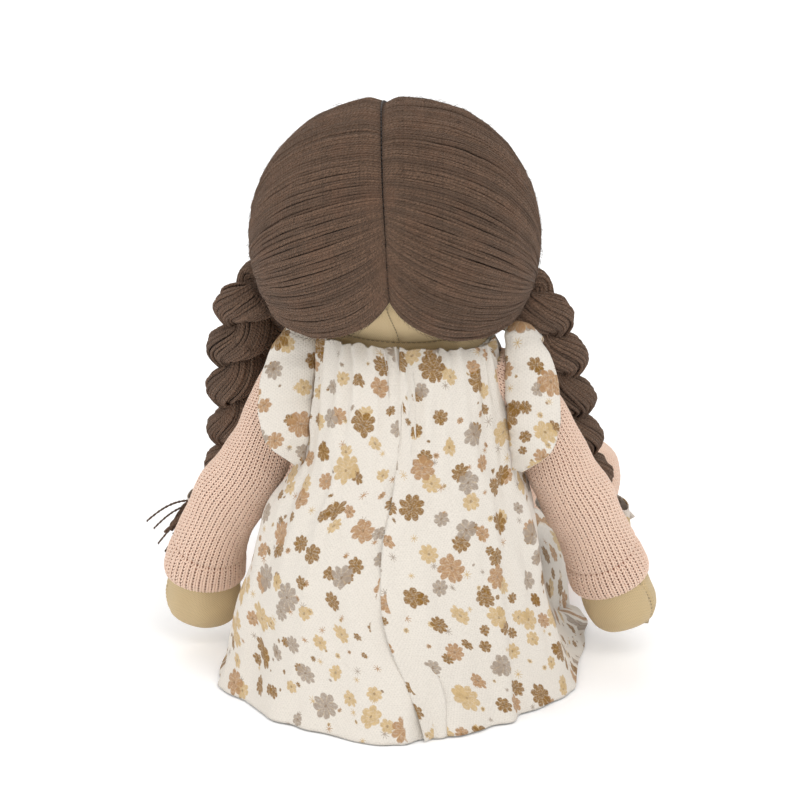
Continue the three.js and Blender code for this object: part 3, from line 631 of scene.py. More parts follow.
def flower(look, uv, pitch, scatter, least, most, star_from, keep, slant, shift):
    """One layer of a scattered print: its cover, its colour pick, its petal lines and its middle.

    The scatter leaves each motif the room of its radius, so that none is cut off.
    """
    turned = look.node("ShaderNodeVectorRotate", {"rotation_type": "Z_AXIS"},
                       {"Vector": uv, "Angle": slant}).outputs[0]
    v = look.vector("ADD", look.vector("DIVIDE", turned, (pitch, pitch, 1.0)), (shift, shift * 1.7, 0.0))
    cells = look.node("ShaderNodeTexVoronoi", {"voronoi_dimensions": "2D", "feature": "F1"},
                      {"Vector": v, "Scale": 1.0, "Randomness": scatter})
    x, y, _ = look.parts(look.vector("SUBTRACT", v, cells.outputs["Position"]))
    pick, size, turn = look.parts(cells.outputs["Color"])
    x, y = x * pitch, y * pitch
    fray = look.noise(uv, 0.9, 4.0, 0.7) - 0.5
    r = (x * x + y * y).root() + fray * 1.5
    angle = y.math("ARCTAN2", x) + turn * TAU
    petals = (size * 2.99).floor() + 6
    reach = size * (most - least) + least
    wave = abs((petals * angle * 0.5).cos())
    edge = reach * (wave ** 0.6 * 0.34 + 0.68)
    star = pick > star_from
    ray = abs((angle * 4).sin()) * r
    starry = ray.smooth(0.62, 0.30) * r.smooth(reach * 0.75, reach * 0.6)
    whole = r.smooth(edge + 0.22, edge - 0.30)
    cover = (whole * (1 - star) + starry * star) * (turn < keep)
    vein = (1 - wave).smooth(0.55, 0.98) * r.smooth(reach * 0.12, reach * 0.35) * (1 - star)
    eye = r.smooth(0.75, 0.35) * (1 - star)
    return cover, pick, eye, vein


PRINT_LAYERS = (
    # pitch, scatter, least and most radius, share of stars, share kept, slant, shift
    (0.70, 0.5, 0.6, 1.5, 0.90, 0.42, 0.9, 5.3), (0.92, 0.40, 1.6, 3.0, 0.38, 0.74, 2.1, 9.1),
    (1.02, 0.30, 2.6, 4.0, 0.95, 0.80, 0.35, 2.7), (1.50, 0.30, 4.0, 5.9, 1.01, 0.72, 1.35, 7.7))


def muslin(name, ground=None, plain=False):
    """Off-white crinkly muslin with a scattered print of small flowers, soft at their edges."""
    look = Look(name, roughness=0.92, sheen_weight=0.05, sheen_roughness=0.5)
    c = colours()
    uv = look.uv()
    ground = ground or tuple(c.muslin)
    threads = weave(look, uv, 0.62, 0.9)
    slub = look.noise(uv, 1.0, 3.0, 0.6, squeeze=(0.12, 1.3))
    crinkle = look.noise(uv, 1.0, 3.0, 0.55, squeeze=(0.2, 0.11))
    speck = look.noise(uv, 1.15, 3.0, 0.65, squeeze=(0.75, 1.25))
    # Partly painted shade: darker where the weave lies low; the slubs and specks are the cloth's own.
    tint = look.mix(threads.smooth(0.1, 0.9) * 0.45 + slub * 0.25 + speck.smooth(0.35, 0.65) * 0.35,
                    shade(ground, 0.88), shade(ground, 1.05))
    if not plain:
        printed = 1 - look.tone().smooth(0.55, 0.95)
        palette = [(0.0, tuple(c.brown)), (0.32, tuple(c.ochre)), (0.60, tuple(c.clay)),
                   (0.80, tuple(c.grey))]
        pool = look.noise(uv, 0.45, 4.0, 0.65)
        for pitch, *numbers in PRINT_LAYERS:
            mask, choice, eye, vein = flower(look, uv, pitch * mm("print_pitch"), *numbers)
            dye = look.node("ShaderNodeValToRGB", {"ramp": "CONSTANT", "stops": palette},
                            {"Fac": choice}).outputs[0]
            dye = look.mix(pool.smooth(0.3, 0.7) * 0.5, dye, shade(c.muslin, 0.90), "MULTIPLY")
            dye = look.mix(vein * (1.0 - pool.smooth(0.35, 0.65) * 0.5) * 0.5, dye, (0.62, 0.45, 0.25))
            dye = look.mix(eye * 0.6, dye, shade(c.brown, 0.6))
            grain = threads.smooth(0.2, 0.9) * 0.05 + speck.smooth(0.42, 0.66) * 0.26
            tint = look.mix(mask * printed * (0.98 - grain), tint, dye)
    look.set("Base Color", tint)
    look.bump(threads * 0.45 + slub * 0.6 + crinkle * 3.2, 0.0003, 0.85)
    return look


def thread_look(name, tint):
    look = Look(name, roughness=0.55, sheen_weight=0.2)
    u, v, _ = look.parts(look.uv())
    twist = (u / 0.5 + v * 2).wave()
    # Painted shade and highlight: darker in the grooves of the twist, lighter on its crests.
    look.set("Base Color", look.mix(twist, shade(tint, 0.6), shade(tint, 1.5)))
    look.bump(twist, 0.0001, 0.8)
    return look


def tape_cloth(name):
    look = Look(name, roughness=0.8, sheen_weight=0.1)
    threads = weave(look, look.uv(), 0.5, 0.7)
    # Painted shade: the tape is darker where the weave lies low.
    look.set("Base Color", look.mix(threads, (0.66, 0.62, 0.55), (0.86, 0.83, 0.77)))
    look.bump(threads, 0.0003, 0.8)
    return look


def elastic_cloth(name):
    look = Look(name, roughness=0.6, sheen_weight=0.15)
    u, v, _ = look.parts(look.uv())
    ribs = (u / 0.55 + v).wave()
    # Painted shade: the elastic is darker in the grooves between its ribs.
    look.set("Base Color", look.mix(ribs, (0.02, 0.012, 0.008), (0.075, 0.048, 0.034)))
    look.bump(ribs, 0.00015, 0.8)
    return look


def floor_look(name):
    look = Look(name, roughness=0.7, specular_ior_level=0.25, emission_color=(1, 1, 1, 1),
                emission_strength=0.1)
    mottle = look.noise(look.place(), 3, 3.0)
    look.set("Base Color", look.mix(mottle * 0.3, (0.98, 0.98, 0.98), (0.96, 0.96, 0.96)))
    return look


MAKERS = {
    "cotton": cotton,
    "face_cotton": lambda name: cotton(name, blush=True),
    "hair_yarn": hair_yarn,
    "hair_shade": hair_shade,
    "knit_yarn": knit_yarn,
    "knit_ground": knit_ground,
    "knit_flat": knit_flat,
    "muslin": muslin,
    "plain_muslin": lambda name: muslin(name, plain=True),
    "bow_cloth": lambda name: muslin(name, ground=(0.66, 0.59, 0.52)),
    "dark_thread": lambda name: thread_look(name, tuple(colours().thread)),
    "rose_thread": lambda name: thread_look(name, tuple(colours().rose)),
    "tan_thread": lambda name: thread_look(name, shade(colours().cotton, 0.42)),
    "tape_cloth": tape_cloth,
    "elastic_cloth": elastic_cloth,
    "floor": floor_look,
}


# Body and head

SEAM_Z = 150.8
HEAD = np.array([0, -4, 184.8])
HEAD_HALF = np.array([51.5, 47.5, 50.0])
TORSO_ROWS = np.array([
    [0.3, 38, 26], [1.6, 40.5, 28.5], [7, 43.2, 29.8], [24, 45, 31], [48, 42, 30], [75, 36.5, 28.5],
    [102, 34.5, 27.5], [126, 34.3, 26.8], [141, 33, 25.8], [149.6, 30.7, 25.5], [151.2, 29.8, 24.8]])


def lean(z):
    """How far the body sits to the right of the head at a height."""
    return through([0, 50, 75, 95, 110, 150, 172, 240], [-1, -1, -2.2, -4.6, -4.9, -3.6, 0, 0], z)


def flat_in(points):
    """The level way from points to the upright middle line."""
    return -unit(points * (1, 1, 0))


def head_in(points):
    """The way from points to the middle of the head."""
    return unit(HEAD - points)


def seam_stitches(shell, line, inward, gap=2.1, long=1.4, width=0.16, lift=0.05):
    """Short stitches along a line of points, sunk at their ends, in the piece's second look."""
    run = Line(line)
    count = int(run.length / gap)
    mid = (np.arange(count) + 0.5) / count
    half = long / run.length / 2
    t = mid[:, None] + np.linspace(-half, half, 5)
    dip = np.array([0.35, 0.06, -lift, 0.06, 0.35])[None, :, None]
    shell.tube(run.at(t) + dip * inward(run.at(t)), width, sides=5, slot=1)


def head_rows():
    """Height, half width, half depth and forward shift of the head, from the neck to the crown."""
    rows = [[150.6, 29.8, 24.8, 0], [153.0, 30.5, 25.6, 0.3], [157.0, 34.2, 29.6, 1.3],
            [161.0, 39.5, 35.2, 2.5], [165.0, 44.0, 40.2, 3.4]]
    for degrees in range(-18, 91, 9):
        a = math.radians(degrees)
        tuck = 0.7 if degrees == -18 else 0
        rows.append([HEAD[2] + HEAD_HALF[2] * math.sin(a), HEAD_HALF[0] * math.cos(a) - tuck,
                     HEAD_HALF[1] * math.cos(a) - tuck, 4])
    return np.array(rows)


def head_surface(x, z):
    """The front of the head at a place seen from the front."""
    x, z = np.broadcast_arrays(np.asarray(x, float), z)
    rows = head_rows()
    wide, deep, forward = through(rows[:, 0], rows[:, 1:], z).T
    part = np.clip(1 - ((x - lean(z)) / wide) ** 2, 0.02, 1)
    return np.stack([x, -forward - deep * np.sqrt(part), z], -1)


def build_torso():
    shell = Shell()
    z = np.linspace(TORSO_ROWS[0, 0], TORSO_ROWS[-1, 0], 110)
    half = through(TORSO_ROWS[:, 0], TORSO_ROWS[:, 1:], z)
    angle = TAU * np.arange(120) / 120
    x = half[:, :1] * np.cos(angle) + lean(z)[:, None]
    rings = np.stack([x, half[:, 1:] * np.sin(angle), np.broadcast_to(z[:, None], x.shape)], -1)
    outward = unit(rings * (1, 1, 0))
    puff = 0.35 * drift(rings, 26, 3) + 0.18 * drift(rings, 9, 4)
    puff -= 0.45 * peak(rings[..., 0] - lean(rings[..., 2]), 0.7) * (rings[..., 1] > 0)
    puff -= 0.5 * peak(rings[..., 2] - SEAM_Z, 1.1)
    rings = rings + puff[..., None] * outward
    shell.loft(rings)
    back = np.array([[lean(z) + 0.3, 25.9, z] for z in np.linspace(120, 149, 8)])
    seam_stitches(shell, back, flat_in)
    torso = shell.piece("torso", ["cotton", "tan_thread"], slot="cotton",
                        stands_for=["torso_cover", "torso_stuffing", "shoulder_seam_left",
                                    "shoulder_seam_right", "hip_seam_left", "hip_seam_right"],
                        blend=("torso", "neck", (0, 0, 128), (0, 0, 150)))


def build_head():
    shell = Shell()
    rows = head_rows()
    t = np.linspace(0, len(rows) - 1, 150)
    # The rings crowd towards the crown.
    t = np.where(t > len(rows) - 2, len(rows) - 1 - (len(rows) - 1 - t) ** 1.5, t)
    smooth_rows = through(np.arange(len(rows)), rows, t)
    smooth_rows[:, 1:3] = np.maximum(smooth_rows[:, 1:3], 0.05)
    angle = TAU * np.arange(160) / 160
    z, w, d, f = smooth_rows.T
    rings = np.stack(np.broadcast_arrays(w[:, None] * np.cos(angle) + lean(z)[:, None],
                                         d[:, None] * np.sin(angle) - f[:, None], z[:, None]), -1)
    out = unit(rings - HEAD)
    x, y, z = rings[..., 0], rings[..., 1], rings[..., 2]
    front = smooth(0, -20, y)
    shape = 0.9 * peak(np.abs(x) - 27, 15) * peak(z - 171, 13) * front
    shape -= 0.7 * peak(np.abs(x) - 17, 8) * peak(z - 182, 6) * front
    shape += 0.6 * peak(x, 5) * peak(z - 173.5, 5) * front
    shape += 0.25 * drift(rings, 30, 5)
    shape -= 0.45 * peak(x - lean(z), 0.6) * smooth(0, 10, y) + 0.5 * peak(z - SEAM_Z, 1.0)
    rings = rings + shape[..., None] * out
    shell.loft(rings)
    nape = through(np.arange(len(rows)), rows, np.linspace(0.2, 9, 14))
    seam_stitches(shell, np.array([[lean(z) + 0.25, d - f + 0.05, z] for z, _, d, f in nape]), flat_in)
    turn = np.linspace(0, TAU, 80)
    ring = np.stack([lean(SEAM_Z) + 30.2 * np.cos(turn), 25.2 * np.sin(turn),
                     np.full(80, SEAM_Z + 0.2)], -1)
    seam_stitches(shell, ring, flat_in)
    head = shell.piece("head", ["face_cotton", "tan_thread"], slot="cotton",
                       stands_for=["head_cover", "head_stuffing", "neck_plug"],
                       blend=("neck", "head", (0, 0, 151), (0, 0, 163.5)))


def face_thread(shell, x, z, radius, lift, hump=0.0, slot=0):
    """A thread along places of the face, lifted off them and humped in the middle."""
    place = head_surface(x, z)
    high = lift + hump * np.cos(np.linspace(-1.5, 1.5, len(place)))
    shell.tube(place + (place - HEAD) / 48 * high[:, None], radius, slot=slot)


def build_face():
    for name, side in SIDES:
        shell = Shell()
        eye_x, eye_z = side * 17.0, 180.8
        for s in np.linspace(-1, 1, 17):
            half = 3.3 * math.sqrt(max(1 - s * s, 0.03))
            x = eye_x + np.linspace(-half, half, 9)
            face_thread(shell, x, eye_z + 4.1 * s + 0.05 * side * (x - eye_x), 0.3, 0.75, 0.35)
        glint = np.array([[0.2, 1.8], [1.3, 2.1]]) + (eye_x, eye_z)
        face_thread(shell, *glint.T, 0.22, 1.5, slot=1)
        lash = np.linspace(-1, 1, 15)
        face_thread(shell, eye_x + 4.3 * lash, eye_z + 5.6 - 1.6 * lash**2 - 0.4 * side * lash, 0.28, 0.6)
        face_thread(shell, eye_x + side * 0.8 + 4.6 * lash, eye_z + 13.2 - 1.2 * lash**2, 0.24, 0.5)
        shell.piece(f"eye_{name}_stitches", ["dark_thread", "tape_cloth"], body="head", slot="thread",
                    stands_for=[f"eye_{name}"])
    shell = Shell()
    for s in np.linspace(-1, 1, 8):
        half = 2.4 * math.sqrt(max(1 - s * s, 0.06))
        face_thread(shell, np.linspace(-half, half, 7), 172.8 + 1.7 * s, 0.3, 1.0, 0.4)
    shell.piece("nose_stitches", ["rose_thread"], body="head", slot="face_thread", stands_for=["nose"])
    shell = Shell()
    ends = np.linspace(-1, 1, 10)
    for a, b in zip(ends, ends[1:]):
        s = np.linspace(a - 0.03, b + 0.03, 6)
        face_thread(shell, 8 * s, 164.8 + 2.3 * s**2, 0.42, 0.45, 0.35)
    shell.piece("mouth_stitches", ["rose_thread"], body="head", slot="face_thread", stands_for=["mouth"])


# Hair

GATHER = np.array([53.0, -22.0, 161.0])
HAIR_FRONT, HAIR_NAPE = math.radians(-47), math.radians(99.5)
# The right half of the hair reaches this share as far out as the left one.
RIGHT_HAIR = 0.958


def parting_x(phi):
    """The parting runs a little aslant over the crown."""
    return through([-0.82, -0.36, 0.0, 0.35, 0.87, 1.22, 1.74], [3.5, 7.2, 6.9, 5.0, 2.2, 0.2, -1.9], phi)


def parting_way(phi, side=1):
    """The way from the middle of the head to the parting."""
    return unit(np.stack([side * parting_x(phi) / 58, np.sin(phi), np.cos(phi)], -1))


def crown_drop(w, side):
    """How much lower the yarns lie over the crown, beside the parting."""
    return (1.0 if side > 0 else 1.9) * peak(w - 0.2, 0.24)


def hair_flow(w, lift, steps, side, rng=None):
    """Paths of hair yarns from the parting to the gather.

    w runs from the brow at 0 to the nape at 1, and the yarns spread in the gather where rng is given.
    """
    w = np.asarray(w, float)
    past = np.clip(w - 1, 0, 1)
    phi = lerp(HAIR_FRONT, HAIR_NAPE, np.clip(w, 0, 1))
    start = parting_way(phi, side)
    down = np.stack([np.zeros_like(phi), np.cos(phi), -np.sin(phi)], -1)
    goal_way = unit((GATHER - HEAD) / (HEAD_HALF + 6.8))
    toward = unit(across_of(goal_way - start, start))
    low = smooth(0.66, 1.0, w)[:, None]
    sink = 1.75 * low + 1.2 * past[:, None]
    brow = smooth(0.16, 0.0, w)[:, None]
    leave = unit(0.85 * np.array([1.0, 0, 0]) + 0.30 * toward + sink * down - 0.12 * brow * down)
    back = unit(across_of(start - goal_way, goal_way))
    arrive = unit(back + low * np.array([0, 0, 0.15]) + brow * np.array([0.30, -0.05, 0.0]))
    one = start + (0.46 + 0.16 * low) * leave
    two = goal_way + 0.58 * arrive
    t = np.linspace(0, 1, steps)[None, :, None]
    path = ((1 - t) ** 3 * start[:, None] + 3 * (1 - t) ** 2 * t * one[:, None]
            + 3 * (1 - t) * t * t * two[:, None] + t**3 * goal_way[None, None])
    path = unit(path)
    t = t[..., 0]
    rise = 4.3 + (lift[:, None] - 4.3) * smooth(-0.02, 0.085, t) ** 0.7
    rise -= crown_drop(w, side)[:, None] * smooth(0.42, 0.12, t)
    point = HEAD + path * (HEAD_HALF + rise[..., None])
    point[..., 0] += 0.45 * (1 - t) ** 8
    if rng is not None:
        turn = rng.uniform(0, TAU, len(w))
        reach = 6.5 * np.sqrt(rng.uniform(0.0, 1.0, len(w)))
        knot = GATHER + np.stack([0.55 * reach * np.cos(turn), reach * np.sin(turn),
                                  0.55 * reach * np.cos(turn + 1.0)], -1)
    else:
        knot = np.broadcast_to(GATHER, (len(w), 3))
    close = smooth(0.78, 1.0, t)[..., None]
    point = lerp(point, knot[:, None], close * 0.98)
    return point * (1 if side > 0 else -RIGHT_HAIR, 1, 1)


def even_yarns(side, spacing):
    """Places along the parting that leave the yarns evenly spaced where they spread the most."""
    w = np.linspace(-0.02, 1.09, 300)
    probe = hair_flow(w, np.full(300, mm("hair_lift")), 12, side)
    gaps = np.linalg.norm(np.diff(probe[:, 1:8], axis=0), axis=-1).max(1)
    run = running(gaps)
    return np.interp(np.linspace(0, run[-1], int(run[-1] / spacing)), run, w)


def build_hair():
    yarn = mm("hair_yarn")
    lift = mm("hair_lift")
    for name, side in SIDES:
        rng = np.random.default_rng(21 + side)
        shell = Shell()
        w = even_yarns(side, 0.95 * yarn)
        count = len(w)
        roll = smooth(1.0, 1.09, w) + smooth(0.035, -0.02, w)
        high = lift - 4.4 * roll**1.4 + rng.normal(0, 0.18, count)
        path = hair_flow(w, high, 44, side, rng)
        t = np.linspace(0, 1, 44)[None, :, None]
        free = np.sin(math.pi * t) ** 0.7
        out = unit(path - HEAD)
        lump = 0.16 * drift(path, 15, 5) + 0.10 * drift(path, 6, 6) + rng.normal(0, 0.10, (count, 1))
        fall = 0.5 * smooth(0.5, 1, t) * rng.uniform(0, 1, count)[:, None, None]
        path += free * (lump[..., None] - fall) * out
        waves = t[..., 0] * rng.uniform(5, 16, (count, 1)) + rng.uniform(0, TAU, (count, 1))
        wander = 0.3 * np.sin(waves)
        wander += 0.12 * drift(path, 26, 9)
        along = unit(np.gradient(path, axis=1))
        path += (free[..., 0] * wander)[..., None] * np.cross(along, out)
        swell = 1.06 + 0.10 * drift(path, 9, 8) * 0.7
        radius = yarn / 2 * swell * (1 - 0.25 * smooth(0.6, 1.0, t[..., 0]))
        shell.tube(path, radius, sides=7, tone=rng.uniform(0, 1, count),
                   turn=rng.uniform(0, TAU, (count, 1)))
        # Painted shade: the under yarns take darker tones than the top ones.
        under = int(count * 0.56)
        w = np.linspace(0.005, 1.05, under) + rng.normal(0, 0.002, under)
        path = hair_flow(w, lift - 0.75 - 3.2 * smooth(0.99, 1.06, w), 34, side, rng)
        shell.tube(path, yarn / 2 * 1.25, tone=rng.uniform(0.3, 1, under))
        # The ground sheet under the yarns, in painted shade.
        w = np.linspace(0.0, 1.06, 70)
        ground = hair_flow(w, lift - 1.3 - 3.0 * smooth(0.98, 1.06, w), 30, side)
        cut = ground[:, :28] if side > 0 else ground[::-1, :28]
        shell.cloth(cut, flat_uv(np.linspace(0, 100, 28), np.linspace(0, 140, 70)), 1.2, slot=1)
        w = rng.uniform(0.0, 1.06, sizes().stray_fibres)
        add_fibres(shell, hair_flow(w, np.full(len(w), lift + 0.45), 44, side, rng), HEAD, rng)
        shell.piece(f"hair_{name}_yarns", ["hair_yarn", "hair_shade"], body="head", slot="yarn",
                    stands_for=[f"hair_{name}"])
    build_parting()


def add_fibres(shell, paths, centre, rng, reach=1.6, width=0.045):
    """Fine stray fibres that lift off yarns and bend back."""
    many, steps = paths.shape[:2]
    at = rng.integers(2, steps - 6, many)
    rows = np.arange(many)
    root = paths[rows, at]
    along = unit(paths[rows, at + 3] - root)
    out = unit(root - centre)
    side = np.cross(along, out)
    s = np.linspace(0, 1, 5)[None, :, None]
    long = rng.uniform(1.5, 4.5, (many, 1, 1))
    height = rng.uniform(0.3, 1, (many, 1, 1)) * reach
    sway = rng.normal(0, 1.2, (many, 1, 1))
    hair = (root[:, None] + along[:, None] * long * s + out[:, None] * height * np.sin(2.4 * s)
            + side[:, None] * sway * s**2)
    shell.tube(hair, width * (1.1 - s[..., 0] * 0.7), sides=3, tone=rng.uniform(0, 0.5, many), ends=False)


def build_parting():
    shell = Shell()
    phi = np.linspace(HAIR_FRONT - 0.03, HAIR_NAPE + 0.02, 120)
    half = HEAD_HALF + 3.9
    middle = HEAD + half * parting_way(phi)
    x = np.linspace(-1.6, 1.6, 7)
    grid = middle[:, None] + x[None, :, None] * np.array([1.0, 0, 0])
    grid -= (0.25 * np.abs(x) ** 2)[None, :, None] * unit(middle - HEAD)[:, None]
    # The tape along the parting is in painted shade, as the shadow in the parting's groove.
    shell.cloth(grid, flat_uv(x, np.linspace(0, 143, 120)), 0.5)
    seam_stitches(shell, middle + 0.35 * unit(middle - HEAD), head_in, gap=2.5, long=2.1, width=0.28,
                  lift=0.25)
    shell.piece("parting_stitches", ["hair_shade", "dark_thread"], body="head", slot="thread",
                stands_for=["parting_tape"])


# Plaits

PLAIT_POINTS = [[55.0, -14, 160.5], [58.6, -19, 149], [62.2, -27, 131], [63.6, -35, 110], [64.6, -43, 90],
                [66.8, -51, 72], [69, -55, 63]]
RIGHT_INWARD = np.array([[6.0], [6.0], [4.5], [3.2], [1.6], [0.5], [0]]) * (1, 0, 0)
# The outer edge of each plait is turned towards the back by this angle.
PLAIT_TURN = math.radians(52)
ROOT_SHARE = 0.2


def plait_line(side):
    """The right plait starts nearer to the head than the left one."""
    points = np.array(PLAIT_POINTS, float)
    return Line(points if side > 0 else points - RIGHT_INWARD, side)


def plait_strand(side, index, span, steps):
    """Middle, width way and depth way of one strand of the plait between two shares of its length."""
    line = plait_line(side)

    def middle(t):
        phase = side * (TAU * (t * line.length / mm("plait_pitch") + index / 3) - 1.19)
        swing = np.minimum(0.6 + 0.4 * smooth(-0.04, 0.06, t), 0.35 + 0.65 * smooth(1.0, 0.9, t))
        centre, tangent, across, along = line.frame(t)
        across = math.cos(PLAIT_TURN) * across - side * math.sin(PLAIT_TURN) * along
        along = np.cross(tangent, across)
        spot = centre + (swing * mm("plait_swing") * np.sin(phase))[..., None] * across
        depth = -side * (0.5 + 0.5 * swing) * 6.3 * np.sin(2 * phase)
        return spot + depth[..., None] * along, along

    t = np.linspace(*span, steps)
    spot, depth = middle(t)
    ahead, _ = middle(t + 0.004)
    behind, _ = middle(t - 0.004)
    tangent = unit(ahead - behind)
    depth = unit(across_of(depth, tangent))
    return t, spot, np.cross(tangent, depth), depth


def strand_bundle(shell, side, index, span, steps, rng):
    t, spot, wide, deep = plait_strand(side, index, span, steps)
    swell = np.minimum(0.7 + 0.3 * smooth(-0.05, 0.06, t), 0.55 + 0.45 * smooth(1, 0.91, t))
    half_w = mm("strand_half_width") * swell
    half_d = mm("strand_half_depth") * (0.75 + 0.25 * swell)
    yarn = mm("plait_yarn")
    around = TAU * math.sqrt((mm("strand_half_width") ** 2 + mm("strand_half_depth") ** 2) / 2)
    count = int(around / yarn / 0.86)
    turn = TAU * np.arange(count) / count + rng.normal(0, 0.03, count)
    line = plait_line(side)
    angle = turn[:, None] + side * 0.9 * (t - 0.5)[None, :] * line.length / 30
    cosine, sine = np.cos(angle), np.sin(angle)
    plump = 0.82
    x = np.sign(cosine) * np.abs(cosine) ** plump * (half_w - yarn / 2)
    y = np.sign(sine) * np.abs(sine) ** plump * (half_d - yarn / 2)
    loose = 1 + 0.05 * rng.normal(size=(count, 1))
    paths = spot[None] + (x * loose)[..., None] * wide[None] + (y * loose)[..., None] * deep[None]
    radius = yarn / 2 * 1.08 * (0.72 + 0.28 * swell)
    shell.tube(paths, radius, tone=rng.uniform(0, 1, count), turn=rng.uniform(0, TAU, (count, 1)))
    # A core in painted shade fills the inside of the strand between its yarns.
    ring = TAU * np.arange(20)[None, :, None] / 20
    inset = yarn * 0.75
    core = (spot[:, None] + (half_w - inset)[:, None, None] * np.cos(ring) * wide[:, None]
            + (half_d - inset)[:, None, None] * np.sin(ring) * deep[:, None])
    uv = flat_uv(np.linspace(0, 40, 21), np.linspace(0, 120, len(t)))[..., ::-1]
    shell.loft(core, uv, slot=1)
    pick = rng.integers(0, count, 110)
    add_fibres(shell, paths[pick], np.array([side * 63.0, -35, 110]), rng, reach=1.3, width=0.04)


def build_plaits():
    for name, side in SIDES:
        rng = np.random.default_rng(40 + side)
        root = Shell()
        for index in range(3):
            strand_bundle(root, side, index, (-0.05, ROOT_SHARE + 0.012), 24, rng)
        root.piece(f"plait_{name}_root", ["hair_yarn", "hair_shade"], slot="yarn",
                   blend=("neck", "torso", (side * 56, -15, 158), (side * 61.5, -23.5, 138)))
        for index in range(3):
            shell = Shell()
            strand_bundle(shell, side, index, (ROOT_SHARE, 1.035), 74, rng)
            shell.piece(f"plait_{name}_strand_{index + 1}", ["hair_yarn", "hair_shade"],
                        body=f"braid_{name}", slot="yarn",
                        stands_for=[f"braid_{name}_strand_{index + 1}"])
        build_tie(name, side)
        build_tuft(name, side, rng)


def tie_frame(side):
    """Place, tangent, width way and depth way at the lower end of a plait."""
    return [a[0] for a in plait_line(side).frame(np.array([1.0]))]


def build_tie(name, side):
    centre, tangent, across, along = tie_frame(side)
    shell = Shell()
    turn = np.linspace(0, TAU * 3.4, 150)
    pitch = (turn / turn[-1]) * 3.2 + 2.0
    radius = 5.9 + 0.25 * np.sin(turn * 1.3)
    coil = (centre + radius[:, None] * (np.cos(turn)[:, None] * across + np.sin(turn)[:, None] * along)
            + pitch[:, None] * tangent)
    shell.tube(coil, 0.85, sides=8)
    shell.piece(f"hair_tie_{name}", ["elastic_cloth"], body=f"braid_{name}", slot="elastic",
                stands_for=[f"hair_elastic_{name}"])


def build_tuft(name, side, rng):
    """Yarn ends below the tie, spread outwards, with a few that stand out on their own."""
    centre, tangent, across, along = tie_frame(side)
    out_way = unit(np.array([0.70 if side > 0 else -0.22, -0.16, -0.69]))
    shell = Shell()
    count = 84
    turn = rng.uniform(0, TAU, count)
    spot = np.sqrt(rng.uniform(0, 1, count))
    long = rng.uniform(22, 34, count)
    s = np.linspace(0, 1, 26)
    base = (across[None] * np.cos(turn)[:, None] + along[None] * np.sin(turn)[:, None]) * spot[:, None]
    open_ = 4.6 + 5.6 * smooth(0.16, 0.75, s) - 1.4 * smooth(0.8, 1, s)
    straight = 6.5 * np.minimum(s / 0.24, 1)
    bent = smooth(0.2, 1.0, s) * 0.9 + 0.1 * s
    path = (centre + (straight - 3)[None, :, None] * tangent
            + (bent[None, :, None] * long[:, None, None]) * out_way * smooth(0.15, 0.35, s)[None, :, None]
            + base[:, None] * open_[None, :, None])
    path += 0.5 * smooth(0.2, 1, s)[None, :, None] * np.stack(
        [np.sin(9 * s[None] + turn[:, None] * 3), np.cos(7 * s[None] + turn[:, None] * 5),
         np.sin(8 * s[None] + turn[:, None])], -1)
    path[..., 2] = np.maximum(path[..., 2], 2.0)
    shell.tube(path, mm("plait_yarn") / 2, tone=rng.uniform(0, 1, count))
    count = sizes().loose_yarns
    share = np.linspace(0, 1, count)
    start = centre + 9 * tangent + out_way * 8
    furthest = 108 if side > 0 else 84
    end = np.stack([side * (furthest - 13 * share), -58.0 - 5 * rng.uniform(-1, 1, count),
                    45 - 17 * share], -1)
    t = np.linspace(0, 1, 30)[None, :, None]
    arch = np.sin(math.pi * t) * (4.5 - 3 * share)[:, None, None] * np.array([0.2 * side, 0, 1.0])
    droop = -t**3 * (3.0 + 2 * share)[:, None, None] * np.array([0, 0, 1.0])
    middle = start + (end[:, None] - start) * t + arch + droop
    coil = 0.27
    for ply in (0, math.pi):
        wind = t * 55 + ply
        circle = np.concatenate([np.zeros_like(wind), np.cos(wind), np.sin(wind)], -1)
        shell.tube(middle + coil * circle, 0.3, tone=0.6)
    shell.piece(f"plait_tuft_{name}", ["hair_yarn", "hair_shade"], body=f"braid_{name}", slot="yarn",
                stands_for=[f"braid_tuft_{name}"])


def ribbon(shell, middle, way, width, uv_at):
    """A strip of cloth along a line, as wide as width at each step, with its width along way.

    Returns its length and its area in square millimetres.
    """
    way = np.broadcast_to(way, middle.shape)
    columns = np.linspace(-1, 1, 11)
    crimp = 0.25 * np.cos(columns * 7)
    facing = unit(np.cross(unit(np.gradient(middle, axis=0)), way))
    grid = (middle[:, None] + columns[None, :, None] * (width[:, None, None] / 2) * way[:, None]
            + (crimp[None, :, None] * (1.3 - width[:, None, None] / width.max())) * facing[:, None])
    run = running(np.linalg.norm(np.diff(middle, axis=0), axis=1))
    shell.cloth(grid, flat_uv(columns * width.max() / 2 + uv_at[0], run + uv_at[1]), 0.45)
    return run[-1], run[-1] * width.mean()


